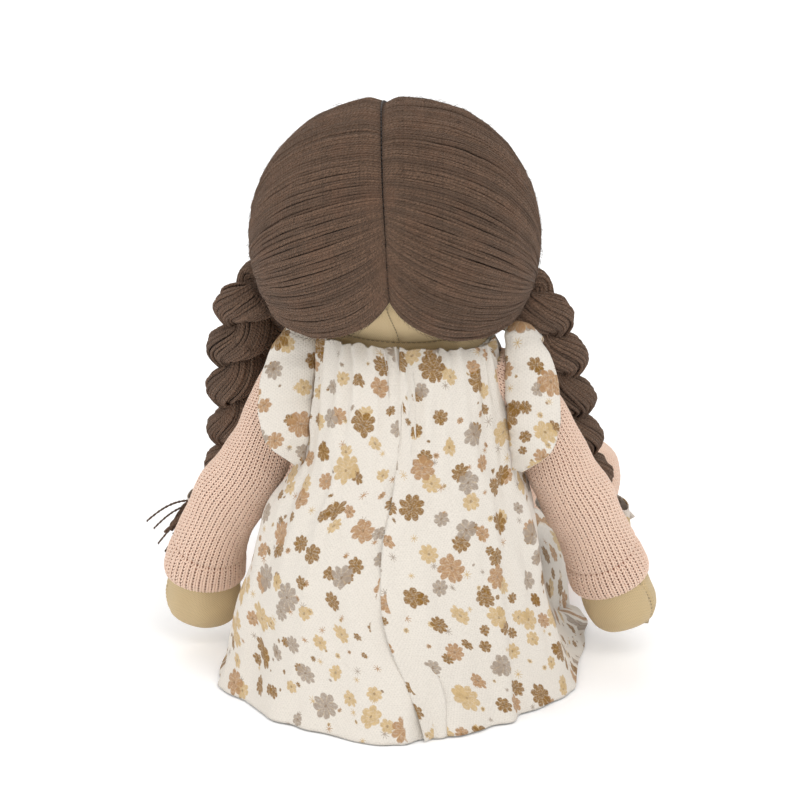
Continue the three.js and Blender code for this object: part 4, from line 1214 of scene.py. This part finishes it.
def build_bows():
    for name, side in SIDES:
        centre, tangent, across, _ = tie_frame(side)
        front = unit(across_of(np.array([0.0, -1, 0]), tangent))
        up = -tangent
        middle = centre + 8.5 * tangent
        aside = unit(across * (1, 1, 0))
        droop = np.array([0, 0, -0.5])
        knot = middle + front * 8.2
        shell = Shell()
        turn = np.linspace(0, TAU, 60)
        cosine, sine = np.cos(turn)[:, None], np.sin(turn)[:, None]
        band = middle + 7.3 * (cosine * across + sine * np.cross(tangent, across))
        strips = [ribbon(shell, band, up, np.full(60, 4.4), (10, 0))]
        for way in (-1, 1):
            t = np.linspace(0, 1, 60)
            reach = (20.5 if side > 0 else 17.5) * np.sin(math.pi * t) ** 0.8
            puff = 4.6 * np.sin(TAU * t)
            rise = -1.5 * np.sin(math.pi * t) ** 2
            loop = (knot + reach[:, None] * (way * aside + droop) + puff[:, None] * front
                    + rise[:, None] * up)
            wide = 6.0 + 8.0 * np.sin(math.pi * t) ** 1.2
            tilted = unit(up + way * 0.25 * np.sin(math.pi * t)[:, None] * across)
            strips.append(ribbon(shell, loop, tilted, wide, (40 + 30 * way, 20)))
            s = np.linspace(0, 1, 40)
            apart = way * (9.5 * s + 1.5 * np.sin(3 * s))
            tail = (knot + front * (0.5 + 2.2 * np.sin(2.2 * s))[:, None] + apart[:, None] * across
                    + 21 * s[:, None] * tangent)
            tilted = unit(across - 0.35 * way * tangent)
            strips.append(ribbon(shell, tail, tilted, 5.0 + 5.5 * s, (130 + 25 * way, 70)))
        wrap = knot + (3.3 * cosine * across * 1.1 + 3.1 * sine * front)
        strips.append(ribbon(shell, wrap, up, np.full(60, 6.6), (200, 10)))
        bow = shell.piece(f"bow_{name}_ribbon", ["bow_cloth"], body=f"braid_{name}", slot="bow_cloth",
                          stands_for=[f"bow_{name}"])


# Arms and knitted sleeves

ARM_POINTS = [[36, 0, 133], [43, -2, 126], [53, -9, 107], [60, -14, 88], [69, -20, 70], [77, -26, 50],
              [82, -30, 36], [86, -33.5, 22], [87.5, -35.5, 9.5]]
# How much further out than ARM_POINTS each arm runs.
ARM_OUTWARD = {1: [0, -1.5, -2.8, -2.4, -0.8, 0, -1.5, -4, -2],
               -1: [0, 2.5, 4.0, 3.6, 2.6, 1.6, 0.6, 0.6, 3.6]}
# How much higher than ARM_POINTS the right hand lies.
RIGHT_HAND_RISE = [0, 0, 0, 0, 0, 0.6, 1.8, 3.6, 5.2]
# Share of the arm's length, half width and half depth.
ARM_SIZES = np.array([
    [0, 8.0, 8.0], [0.035, 9.4, 9.4], [0.07, 9.9, 9.9], [0.25, 10.4, 10.6], [0.5, 12.6, 12.8],
    [0.8, 13.3, 12.8], [0.86, 14.5, 12.2], [0.9, 15.0, 11.5], [0.94, 14.5, 10.4], [0.97, 12.9, 8.9],
    [0.99, 10.4, 7.0], [1.0, 8.2, 5.2], [1.012, 4.2, 2.6]])
CUFF_START, CUFF_END = 0.735, 0.83
# How far the ground of the sleeve's knitting stands off the arm.
SLEEVE_OFF = 1.15
# A stitch's thickness as a share of its width, and how far its leg rises.
STITCH_FAT, STITCH_LIFT = 0.44, 0.55


def arm_line(side):
    points = np.array(ARM_POINTS, float) + np.outer(ARM_OUTWARD[side], (1, 0, 0))
    if side < 0:
        points += np.outer(RIGHT_HAND_RISE, (0, 0, 1))
    return Line(points, side)


def limb_rings(line, table, t, angle, grow):
    """Places on a limb, grown by a distance, and the ways out of it. t runs along, angle round it."""
    half = through(table[:, 0], table[:, 1:], t)
    centre, _, across, along = line.frame(t)
    cosine, sine = np.cos(angle)[..., None], np.sin(angle)[..., None]
    grow = np.asarray(grow)[..., None]
    point = centre + (half[..., :1] + grow) * cosine * across + (half[..., 1:] + grow) * sine * along
    return point, unit(cosine * across / half[..., :1] + sine * along / half[..., 1:])


def arm_rings(side, t, angle, grow):
    return limb_rings(arm_line(side), ARM_SIZES, t, angle, grow)


def build_arms():
    for name, side in SIDES:
        shell = Shell()
        t = np.concatenate([np.linspace(0, 0.78, 40), np.linspace(0.79, 1.012, 60)])
        angle = TAU * np.arange(128) / 128
        t = t[:, None]
        first_seam = -0.15 if side > 0 else 0.5
        off = (angle - first_seam) / 2
        seam = np.minimum(np.abs(np.sin(off)), np.abs(np.cos(off))) * 2
        away = seam * through(ARM_SIZES[:, 0], ARM_SIZES[:, 1], t)
        point, out = arm_rings(side, t, angle, 0)
        dent = -0.55 * peak(away, 0.8) + 0.25 * peak(away - 1.8, 0.9)
        dent += 0.16 * np.sin(t * 330 + 2 * np.sin(t * 60)) * peak(away, 2.6)
        dent += 0.3 * drift(point, 14, 31) * smooth(0.8, 0.9, t)
        point = point + (dent * smooth(1.012, 0.99, t))[..., None] * out
        shell.loft(point)
        seam_t = np.linspace(0.8, 0.985, 20)
        for angle_at in (first_seam, first_seam + math.pi):
            line, _ = arm_rings(side, seam_t, np.full(20, angle_at), -0.35)
            centre = arm_line(side).at(0.92)
            seam_stitches(shell, line, lambda p: unit(centre - p), gap=1.7, long=1.2, width=0.2)
        arm = shell.piece(f"arm_{name}", ["cotton", "tan_thread"], body=f"arm_{name}", slot="cotton",
                          stands_for=[f"arm_cover_{name}", f"arm_stuffing_{name}"])


def knit(shell, surface, columns, rows, rng, tone_shift=0.0, steps=5):
    """Plump slanted stitches over a surface given as a function of wale and course."""
    i, j = np.meshgrid(np.arange(columns), np.arange(rows), indexing="ij")
    i, j = i.ravel().astype(float), j.ravel().astype(float)
    s = np.linspace(0, 1, steps)
    legs, ups, tones, widths = [], [], [], []
    for way in (-1, 1):
        u = i[:, None] + 0.5 + way * (0.05 + 0.36 * smooth(-0.1, 1.05, s))[None]
        v = j[:, None] + (-0.22 + 1.42 * s)[None]
        u = u + rng.normal(0, 0.012, (len(i), 1))
        high = STITCH_LIFT * (-0.55 + 1.35 * np.sin(math.pi * (0.08 + 0.84 * s)) ** 0.8)[None]
        point, out, size = surface(u, v, np.broadcast_to(high, u.shape))
        legs.append(point)
        ups.append(out)
        uneven = 1 + rng.normal(0, 0.03, (len(i), 1))
        widths.append(size * STITCH_FAT * (0.62 + 0.38 * np.sin(math.pi * s))[None] * uneven)
        tones.append(np.clip(rng.normal(0.35, 0.2, len(i)) + tone_shift, 0, 1))
    shell.tube(np.concatenate(legs), np.concatenate(widths), sides=4, tone=np.concatenate(tones),
               flat=0.85, up=np.concatenate(ups), turn=math.pi / 4, ends=False)


def build_sleeves():
    wales = 38
    for name, side in SIDES:
        rng = np.random.default_rng(60 + side)
        length_mm = arm_line(side).length

        def surface(u, v, high, start, profile):
            t = start + v * mm("course") / length_mm
            angle = side * TAU * u / wales + 0.3
            point, out = arm_rings(side, t, angle, SLEEVE_OFF + high + profile(t))
            half = through(ARM_SIZES[:, 0], ARM_SIZES[:, 1], t)
            return point, out, TAU * (half + SLEEVE_OFF) / wales / 2

        def slack(t):
            return (0.35 * np.sin(t * 38) * smooth(0.15, 0.3, t) + 0.45 * peak(t - 0.72, 0.012)
                    - 0.5 * peak(t - 0.738, 0.006))

        shell = Shell()
        first, last = 0.002, CUFF_START + 0.004
        rows = int((last - first) * length_mm / mm("course"))
        knit(shell, lambda u, v, h: surface(u, v, h, first, slack), wales, rows, rng)
        # The ground under the stitches, in painted shade.
        t = np.linspace(0.012, last, 70)[:, None]
        angle = TAU * np.arange(64) / 64
        point, _ = arm_rings(side, t, angle, 0.85 + slack(t))
        shell.loft(point, slot=1)
        shell.piece(f"sleeve_{name}_knit", ["knit_yarn", "knit_ground"], body=f"arm_{name}", slot="knit",
                    stands_for=[f"sleeve_{name}"])

        shell = Shell()

        def band(t):
            s = (t - CUFF_START) / (CUFF_END - CUFF_START)
            return 1.25 * np.clip(1 - np.abs(2 * s - 1) ** 4, -0.9, 1) + 0.1

        rows = int((CUFF_END - CUFF_START) * length_mm / mm("course")) + 1
        knit(shell, lambda u, v, h: surface(u, v, h, CUFF_START - 0.001, band), wales, rows, rng,
             tone_shift=0.1)
        # The ground under the stitches, in painted shade.
        t = np.linspace(CUFF_START, CUFF_END + 0.012, 26)[:, None]
        point, _ = arm_rings(side, t, angle, 0.8 + band(t))
        shell.loft(point, slot=1)
        shell.piece(f"cuff_{name}_knit", ["knit_yarn", "knit_ground"], body=f"arm_{name}", slot="knit",
                    stands_for=[f"cuff_{name}"])


# Legs

LEG_POINTS = [[21, -12, 20.6], [26, -36, 19.6], [32, -64, 18.6], [38, -92, 17.6], [43, -116, 17.2],
              [47, -135, 18.0], [49.6, -148, 27], [50.5, -151.5, 40], [50.5, -152, 53]]
# Share of the leg's length, half width and half depth.
LEG_SIZES = np.array([
    [0, 12, 12], [0.03, 17, 17], [0.07, 19.6, 19.6], [0.25, 19.4, 18.9], [0.5, 18.2, 17.9],
    [0.68, 17.4, 17.2], [0.78, 18.6, 17.2], [0.86, 20.6, 15.6], [0.92, 20.6, 14.8],
    [0.96, 17.6, 12.6], [0.985, 12.2, 8.6], [1.0, 7.0, 4.4], [1.006, 3.0, 2.0]])


def leg_line(side):
    """The right foot lies a little further out than the left one."""
    points = np.array(LEG_POINTS, float)
    if side < 0:
        points[:, 0] += 6.5 * smooth(0, 7, np.arange(9))
    return Line(points, side)


def leg_rings(side, t, angle, grow):
    """Places on the leg, kept above the floor, and the ways out of it."""
    point, out = limb_rings(leg_line(side), LEG_SIZES, t, angle, grow)
    least = 0.15 + np.maximum(grow, -0.5) * 0.25
    low = point[..., 2] - least
    point[..., 2] = least + np.where(low > 3, low, 3 * np.exp((low - 3) / 3))
    return point, out


def build_legs():
    wales = 64
    for name, side in SIDES:
        rng = np.random.default_rng(80 + side)
        length_mm = leg_line(side).length
        first = 0.53

        def surface(u, v, high):
            t = np.minimum(first + v * mm("course") / length_mm, 1.005)
            angle = side * TAU * u / wales + 0.3
            point, out = leg_rings(side, t, angle, high - 0.9)
            half = through(LEG_SIZES[:, 0], LEG_SIZES[:, 1:], t).mean(-1)
            return point, out, TAU * half / wales / 2

        shell = Shell()
        rows = int((1.0 - first) * length_mm / mm("course")) + 2
        knit(shell, surface, wales, rows, rng, steps=4)
        angle = TAU * np.arange(96) / 96
        # The ground under the stitches is in painted shade; the upper leg and the toe tip take the relief
        # knit with its painted shade.
        for span, slot in ((np.linspace(0, first + 0.01, 26), 2), (np.linspace(first, 0.978, 40), 1),
                           (np.linspace(0.966, 1.006, 16), 2)):
            point, _ = leg_rings(side, span[:, None], angle, -1.25 if slot == 1 else -0.75)
            shell.loft(point, slot=slot)
        leg = shell.piece(f"leg_{name}_stocking", ["knit_yarn", "knit_ground", "knit_flat"],
                          body=f"leg_{name}", slot="knit",
                          stands_for=[f"stocking_{name}", f"leg_stuffing_{name}"])


# Dress

# Reach from the middle of the body and height, from the neckline to the hem.
DRESS_BACK = np.array([[30.2, 150], [33.4, 142.5], [36, 127.5], [38.5, 109.5], [41, 91.5], [45, 73.5],
                       [51, 54.7], [58, 36.7], [66, 18.7], [76, 0.9]])
DRESS_SIDE = np.array([[36.2, 150], [37.4, 141], [39.4, 126], [41.8, 106.5], [44, 93], [52.5, 75],
                       [57.8, 54], [63.2, 33], [67.6, 15], [72.5, 0.9]])
DRESS_FRONT = np.array([[33, 147], [35, 138], [37, 124.5], [40, 106.5], [44, 88.5], [50, 70.5],
                        [62, 57.7], [79.5, 51.8], [97.4, 49.5], [112, 48.8]])
LAST_ROW = 9.0
CLOTH = 0.5


def lap_height(x, y):
    """How high the cloth lies over the legs."""
    along = (-y - 18) / 120
    leg_x = lerp(22.0, 47.0, along)
    radius = lerp(20.5, 17.0, along)
    away = np.minimum(np.abs(np.abs(x) - leg_x) / (radius + 5), 1)
    top = 2 * radius + 2.0
    over = top * (1 - away**2.6) ** (1 / 2.6)
    hollow = 0.52 * top * np.exp(-((x / leg_x) ** 4))
    sharp = 0.25
    return np.log(np.exp(sharp * over) + np.exp(sharp * hollow)) / sharp - 0.6


def dress_place(row, turn):
    """A place on the dress. Turn runs in degrees from the back, left side first."""
    rows = np.arange(10.0)
    angle = np.radians(turn)
    cosine, sine = np.cos(angle), np.sin(angle)
    down = row / LAST_ROW
    front = smooth(0.12, -0.12, cosine)
    tables = (DRESS_BACK, DRESS_SIDE, DRESS_FRONT)
    back_at, side_at, front_at = (through(rows, table, row) for table in tables)
    square = lerp(1.0, 2 / (2 + 1.6 * smooth(0.6, 1, down)), front)
    across = np.sign(sine) * np.abs(sine) ** square
    along = np.sign(cosine) * np.abs(cosine) ** square
    reach = lerp(back_at[..., 0], front_at[..., 0], front)
    height = lerp(back_at[..., 1], front_at[..., 1], front)
    round_mm = angle * 60
    plane = np.stack([round_mm, down * 165], -1)
    neck = row * 8.5
    wander = 0.9 * drift(plane * (1, 0.3), 34, 11)
    gathers = np.cos(angle * 36 + 2.6 * wander + 1.1 * np.sin(5 * angle)) * np.exp(-neck / 15)
    gathers *= mm("pucker") * (0.75 + 0.7 * drift(plane * (1, 0), 21, 12))
    waves = np.sin(angle * 7.5 + 1.3 * wander + 0.006 * neck * np.sin(3 * angle))
    ridge = 1 - 2.2 * np.abs(waves) ** 0.75
    tucks = 1.6 * ridge * smooth(0, 9, neck) * np.exp(-neck / 34)
    tucks *= np.clip(0.55 + 0.75 * drift(plane * (1, 0.2), 40, 17), 0, 1.4)
    waves = np.cos(angle * 9 + 1.3 * wander) * 0.75 + 0.6 * drift(plane, 90, 13)
    swing = mm("fold") * down**1.3 * waves
    swing *= lerp(1.0, 0.55, front) * (0.4 + 0.6 * smooth(0, 25, np.abs((turn + 180) % 360 - 180)))
    dent = 0.6 * drift(plane, 30, 14) + 0.35 * drift(plane * (1.6, 0.7), 16, 18)
    dent *= smooth(0.05, 0.3, down)
    grow = gathers + tucks + swing + dent
    corner = 2 - (0.42 + 0.10 * smooth(0.1, -0.1, sine)) * smooth(0.35, 1, down)
    fit = lerp((np.abs(sine) ** corner + np.abs(cosine) ** corner) ** (-1 / corner), 1.0, front)
    trim = 1 - 0.05 * smooth(0, -0.5, sine) * np.exp(-neck / 12)
    trim -= 0.03 * smooth(0, -0.35, sine) * smooth(0.72, 1, down) * smooth(-0.5, 0.3, cosine)
    x = (side_at[..., 0] * fit * trim + grow) * across
    y = (reach * fit + grow) * along
    weight = cosine**2
    z = lerp(side_at[..., 1], height, weight)
    lap_share = smooth(5, 8, row) * front
    low = 0.9 + (LAST_ROW - row) * 6 * (1 - weight)
    lap = np.maximum(lap_height(x, y) + 1.1 * drift(np.stack([x, y], -1), 30, 15), low)
    z = lerp(z, lap, lap_share)
    x = x + lean(z)
    frill = np.exp(-neck / 3.5)
    shoulder = (1 - weight) * np.exp(-neck / 13)
    z = z - shoulder * (1.6 + 2.6 * smooth(0, -0.5, sine))
    z = z + frill * (0.75 * drift(plane * (1, 0), 11, 16) + 0.3 * np.cos(angle * 41 + 2.2 * wander))
    return np.stack([x, y, np.maximum(z, 0.55)], -1)


def cloth_lengths(grid, middle):
    """Lengths in millimetres over a grid, across from one column and down from its first row."""
    along = np.linalg.norm(np.diff(grid, axis=1), axis=-1)
    down = np.linalg.norm(np.diff(grid, axis=0), axis=-1)
    u = np.concatenate([np.zeros((len(grid), 1)), np.cumsum(along, axis=1)], 1)
    v = np.concatenate([np.zeros((1, grid.shape[1])), np.cumsum(down, axis=0)], 0)
    return np.stack([u - u[:, middle:middle + 1], v], -1)


def build_dress():
    shell = Shell()
    row = np.concatenate([np.linspace(0, 1.2, 28, endpoint=False), np.linspace(1.2, 9, 109)])
    rr, step = np.meshgrid(row, np.linspace(0, 1, 361), indexing="ij")
    down = rr / LAST_ROW
    over_edge = through([0, 0.27, 0.43, 0.58, 0.72, 0.8, 0.87, 0.95, 1.0],
                        [359.4, 360.4, 362.6, 363.3, 361.2, 357.0, 352.4, 347.8, 345.8], down)
    under_edge = -9 - 15 * smooth(0.65, 0.95, down)
    turn = under_edge + step * (over_edge - under_edge)
    base = dress_place(rr, turn)
    out = grid_normals(base)
    under = smooth(34, 12, turn)
    sink = under * (1.25 + 0.3 * smooth(0.0, 0.1, down))
    # How far a place lies from the edge of the overlap, in millimetres.
    reach_mm = (over_edge - turn) * np.radians(1) * lerp(33.0, 76.0, down)
    curl = (1.2 * smooth(0.5, 0.95, down) + 0.35) * np.exp(-reach_mm / 5.0)
    crease = -0.2 * peak(reach_mm - 7, 2.5) * (turn > 330)
    grid = base + (curl + crease - sink)[..., None] * out * (1, 1, 0.2)
    strip_mm = 3.4 * smooth(0.34, 0.22, down) + 7.0 * smooth(0.60, 0.78, down)
    from_edge = (turn - over_edge + 360) * np.radians(1) * lerp(36.0, 74.0, down)
    plain = smooth(0.6, -0.6, from_edge - strip_mm) * (turn < 60)
    outer = shell.add(grid, plain)
    inner = shell.add(grid - CLOTH * out, plain)
    # The print is laid out on its own between each pair of these columns.
    seams = [0, 98, 140, 228, 270, 360]
    for a, b in zip(seams, seams[1:]):
        part = grid[:, a:b + 1]
        uv = part[..., 1:] if b - a < 60 else cloth_lengths(part, (b - a) // 2)
        uv = uv * (1, -1) + np.array([130 + 2.9 * a, 31 + 1.3 * a])
        shell.quads(outer[:, a:b + 1], uv)
        shell.quads(inner[:, a:b + 1], uv, flip=True, slot=1)
        ends = [column for column, own in ((0, a == 0), (-1, b == 360)) if own]
        shell.rim(outer[:, a:b + 1], inner[:, a:b + 1], uv, columns=ends)
    dress = shell.piece("dress", ["muslin", "plain_muslin"], body="torso", slot="muslin",
                        stands_for=["dress_body"])


def build_flutters():
    """Puffed leaves of doubled cloth round the armholes."""
    for name, side in SIDES:
        shell = Shell()
        t = np.linspace(0.0, 1.0, 110)[:, None]
        s = np.linspace(0, 1, 30)[None, :]
        rise = np.sin(math.pi * t)
        front = smooth(0.4, 0.6, t)
        depth = lerp(13.0, 17.0, front) * np.cos(math.pi * t)
        root_z = lerp(95.5 + 54.0 * rise**0.9, 107 + 42 * rise, front)
        body_x = np.interp(-root_z, -DRESS_SIDE[:, 1], DRESS_SIDE[:, 0])
        body_y = np.interp(-root_z, -DRESS_BACK[:, 1], DRESS_BACK[:, 0])
        root_x = body_x * np.sqrt(1 - (depth / body_y) ** 2) - 1.0
        wide = through([0, 0.03, 0.1, 0.18, 0.25, 0.33, 0.4, 0.5, 0.62, 0.75, 0.87, 0.96, 1],
                       [4, 13.5, 20.5, 22, 21.5, 19, 15.5, 12.5, 14, 16.5, 15.5, 10, 4], t)
        ripple = np.sin(t * 34 + 2.0 * np.sin(5 * t)) * 0.9 + 0.5 * np.sin(t * 61)
        x = root_x + wide * s
        z = root_z + (2.2 * np.sin(math.pi * s * 0.7) - 6.0 * s**2) * rise + 0.6 * ripple * s * rise
        y = depth + (3.0 * s + ripple * 0.8 * s) * np.cos(math.pi * t)
        grid = np.stack([side * x + lean(z) - (2.6 + 1.4 * smooth(125, 146, z)) * (side < 0), y, z], -1)
        normal = grid_normals(grid) * -side
        lens = np.sin(math.pi * s**0.8) ** 0.6 * np.minimum(1, rise * 4)
        thick = 3.2 * lens + 0.25
        pinch = 0.65 * np.cos(t * 96 + 3 * np.sin(9 * t)) * np.exp(-s * 4.5)
        pinch -= 1.9 * peak(t - 0.15 + 0.03 * s, 0.011) * np.exp(-s * 3.0)
        pinch -= 1.0 * peak(t - 0.07 - 0.04 * s, 0.012) * np.exp(-s * 2.4)
        upper = grid + (thick + pinch)[..., None] * normal
        lower = grid - (thick * 0.55 - pinch)[..., None] * normal
        a = shell.add(upper)
        b = shell.add(lower)
        uv = cloth_lengths(np.swapaxes(grid, 0, 1), 55)
        uv = np.swapaxes(uv, 0, 1) + np.array([17 + 300 * (side < 0), 209])
        flip = side > 0
        shell.quads(a, uv, flip=not flip)
        shell.quads(b, uv, flip=flip)
        for edge_a, edge_b, turned in ((a[:, 0], b[:, 0], flip), (a[:, -1], b[:, -1], not flip)):
            shell.quads(np.stack([edge_a, edge_b], -1), np.stack([uv[:, 0], uv[:, 0]], 1), flip=turned)
        for edge_a, edge_b, turned in ((a[0], b[0], not flip), (a[-1], b[-1], flip)):
            shell.quads(np.stack([edge_a, edge_b]), np.stack([uv[0], uv[0]]), flip=turned)
        flutter = shell.piece(f"flutter_{name}", ["muslin"], slot="muslin",
                              stands_for=[f"dress_flutter_{name}"],
                              blend=("torso", f"arm_{name}", (side * 39, 0, 140), (side * 54, 0, 132)))


def build_fastening():
    """The neckband elastic and the two closure tapes, under the neckline."""
    shell = Shell()
    turn = np.linspace(26, 334, 260)
    angle = np.radians(turn)
    wave = 0.35 * np.cos(angle * 60)
    down = np.linspace(0, 1, 6)
    x = (32.6 + wave) * np.sin(angle) + lean(145)
    y = (29.0 + wave) * np.cos(angle)
    z = 146.0 - 4.0 * down[:, None] - 1.5 * (np.cos(angle) < 0) * np.cos(angle) ** 2
    grid = np.stack([np.broadcast_to(x, z.shape), np.broadcast_to(y, z.shape), z], -1)
    shell.cloth(grid, flat_uv(angle * 33, down * 4), 0.6)
    shell.piece("neckband_elastic", ["tape_cloth"], body="torso", slot="tape",
                stands_for=["dress_neck_elastic"])
    for name, depth in (("hook", 3.4), ("loop", 4.3)):
        shell = Shell()
        x, down = np.linspace(-4.3, 4.3, 14), np.linspace(0, 1, 16)
        z = np.broadcast_to(146.4 - 11.0 * down[:, None], (16, 14))
        y = (31.8 + 2.7 * down[:, None] - depth) * np.sqrt(1 - (x / 37) ** 2)
        shell.cloth(np.stack([x + lean(z), y, z], -1)[:, ::-1], flat_uv(x, 11 * down), 0.45)
        shell.piece(f"closure_{name}_strip", ["tape_cloth"], body="torso", slot="tape",
                    stands_for=[f"closure_{name}_tape"])


# Stage

def build_stage():
    scene = bpy.context.scene
    scene.view_settings.view_transform = "Standard"
    # The camera looks at the back of the doll, as the photograph does.
    azimuth, elevation = math.radians(5.7), math.radians(19.0)
    back = np.array([-math.sin(azimuth) * math.cos(elevation), math.cos(azimuth) * math.cos(elevation),
                     math.sin(elevation)])
    right = np.array([-math.cos(azimuth), -math.sin(azimuth), 0])
    up = np.cross(back, right)
    target = 0.0012 * right + 0.112 * up
    distance, picture_width = 4.0, 0.320
    camera = bpy.data.objects.new("camera", bpy.data.cameras.new("camera"))
    camera.data.sensor_width = 36
    camera.data.lens = 36 * distance / picture_width
    camera.location = target + distance * back
    camera.rotation_mode = "QUATERNION"
    camera.rotation_quaternion = Vector(-back).to_track_quat("-Z", "Y")
    scene.collection.objects.link(camera)
    scene.camera = camera
    build_floor()
    world = scene.world or bpy.data.worlds.new("world")
    scene.world = world
    world.use_nodes = True
    background = world.node_tree.nodes["Background"]
    background.inputs["Color"].default_value = (1.0, 1.0, 1.0, 1)
    background.inputs["Strength"].default_value = 0.78
    for name, at, size, power in (("key", (-0.7, 1.3, 1.7), 1.4, 17), ("fill", (1.5, 0.7, 1.0), 1.6, 7),
                                  ("front", (0.3, -1.7, 1.3), 1.6, 9)):
        lamp = bpy.data.lights.new(name, "AREA")
        lamp.shape = "DISK"
        lamp.size = size
        lamp.energy = power
        light = bpy.data.objects.new(name, lamp)
        light.location = at
        light.rotation_mode = "QUATERNION"
        light.rotation_quaternion = Vector(np.array([0, 0, 0.1]) - np.array(at)).to_track_quat("-Z", "Y")
        scene.collection.objects.link(light)


def build_floor():
    span = 3000 * np.linspace(-1, 1, 41)
    x, y = np.meshgrid(span, span)
    shell = Shell()
    shell.quads(shell.add(np.stack([x, y, np.zeros_like(x)], -1)), np.stack([x, y], -1))
    mesh = bpy.data.meshes.new("floor")
    points = np.concatenate(shell.points) / 1000
    mesh.from_pydata(points.tolist(), [], np.concatenate(shell.faces).tolist())
    mesh.materials.append(finish("floor"))
    ground = bpy.data.objects.new("floor", mesh)
    bpy.context.scene.collection.objects.link(ground)


# Add-on

class DollStage(bpy.types.Operator):
    """Make the floor, the lights and the camera"""
    bl_idname = "doll.stage"
    bl_label = "Stage"

    def execute(self, context):
        build_stage()
        return {"FINISHED"}


class DollBody(bpy.types.Operator):
    """Make the stuffed body and the head"""
    bl_idname = "doll.body"
    bl_label = "Body and head"

    def execute(self, context):
        build_torso()
        build_head()
        return {"FINISHED"}


class DollFace(bpy.types.Operator):
    """Stitch the eyes, the nose and the mouth"""
    bl_idname = "doll.face"
    bl_label = "Face"

    def execute(self, context):
        build_face()
        return {"FINISHED"}


class DollHair(bpy.types.Operator):
    """Lay the yarn hair from the parting to the gathers"""
    bl_idname = "doll.hair"
    bl_label = "Hair"

    def execute(self, context):
        build_hair()
        return {"FINISHED"}


class DollPlaits(bpy.types.Operator):
    """Make the plaits with their ties and tufts"""
    bl_idname = "doll.plaits"
    bl_label = "Plaits"

    def execute(self, context):
        build_plaits()
        return {"FINISHED"}


class DollBows(bpy.types.Operator):
    """Tie the bows"""
    bl_idname = "doll.bows"
    bl_label = "Bows"

    def execute(self, context):
        build_bows()
        return {"FINISHED"}


class DollArms(bpy.types.Operator):
    """Make the arms and their knitted sleeves"""
    bl_idname = "doll.arms"
    bl_label = "Arms and sleeves"

    def execute(self, context):
        build_arms()
        build_sleeves()
        return {"FINISHED"}


class DollLegs(bpy.types.Operator):
    """Make the legs in their stockings"""
    bl_idname = "doll.legs"
    bl_label = "Legs"

    def execute(self, context):
        build_legs()
        return {"FINISHED"}


class DollDress(bpy.types.Operator):
    """Make the dress, its flutter sleeves and its fastening"""
    bl_idname = "doll.dress"
    bl_label = "Dress"

    def execute(self, context):
        build_dress()
        build_flutters()
        build_fastening()
        return {"FINISHED"}


STEPS = (DollStage, DollBody, DollFace, DollHair, DollPlaits, DollBows, DollArms, DollLegs, DollDress)


class DollPanel(bpy.types.Panel):
    """The doll's sizes, colours and pieces"""
    bl_idname = "VIEW3D_PT_doll"
    bl_label = "Rag doll"
    bl_space_type = "VIEW_3D"
    bl_region_type = "UI"
    bl_category = "Doll"

    def draw(self, context):
        for group in (context.scene.doll_sizes, context.scene.doll_colours):
            box = self.layout.box()
            for name in group.__annotations__:
                box.prop(group, name)
        for step in STEPS:
            self.layout.operator(step.bl_idname)


CLASSES = (DollSizes, DollColours, *STEPS, DollPanel)


def register():
    for cls in CLASSES:
        bpy.utils.register_class(cls)
    bpy.types.Scene.doll_sizes = PointerProperty(type=DollSizes)
    bpy.types.Scene.doll_colours = PointerProperty(type=DollColours)


def unregister():
    del bpy.types.Scene.doll_sizes
    del bpy.types.Scene.doll_colours
    for cls in reversed(CLASSES):
        bpy.utils.unregister_class(cls)


def main():
    register()
    for step in STEPS:
        group, name = step.bl_idname.split(".")
        getattr(getattr(bpy.ops, group), name)()


if __name__ == "__main__":
    main()
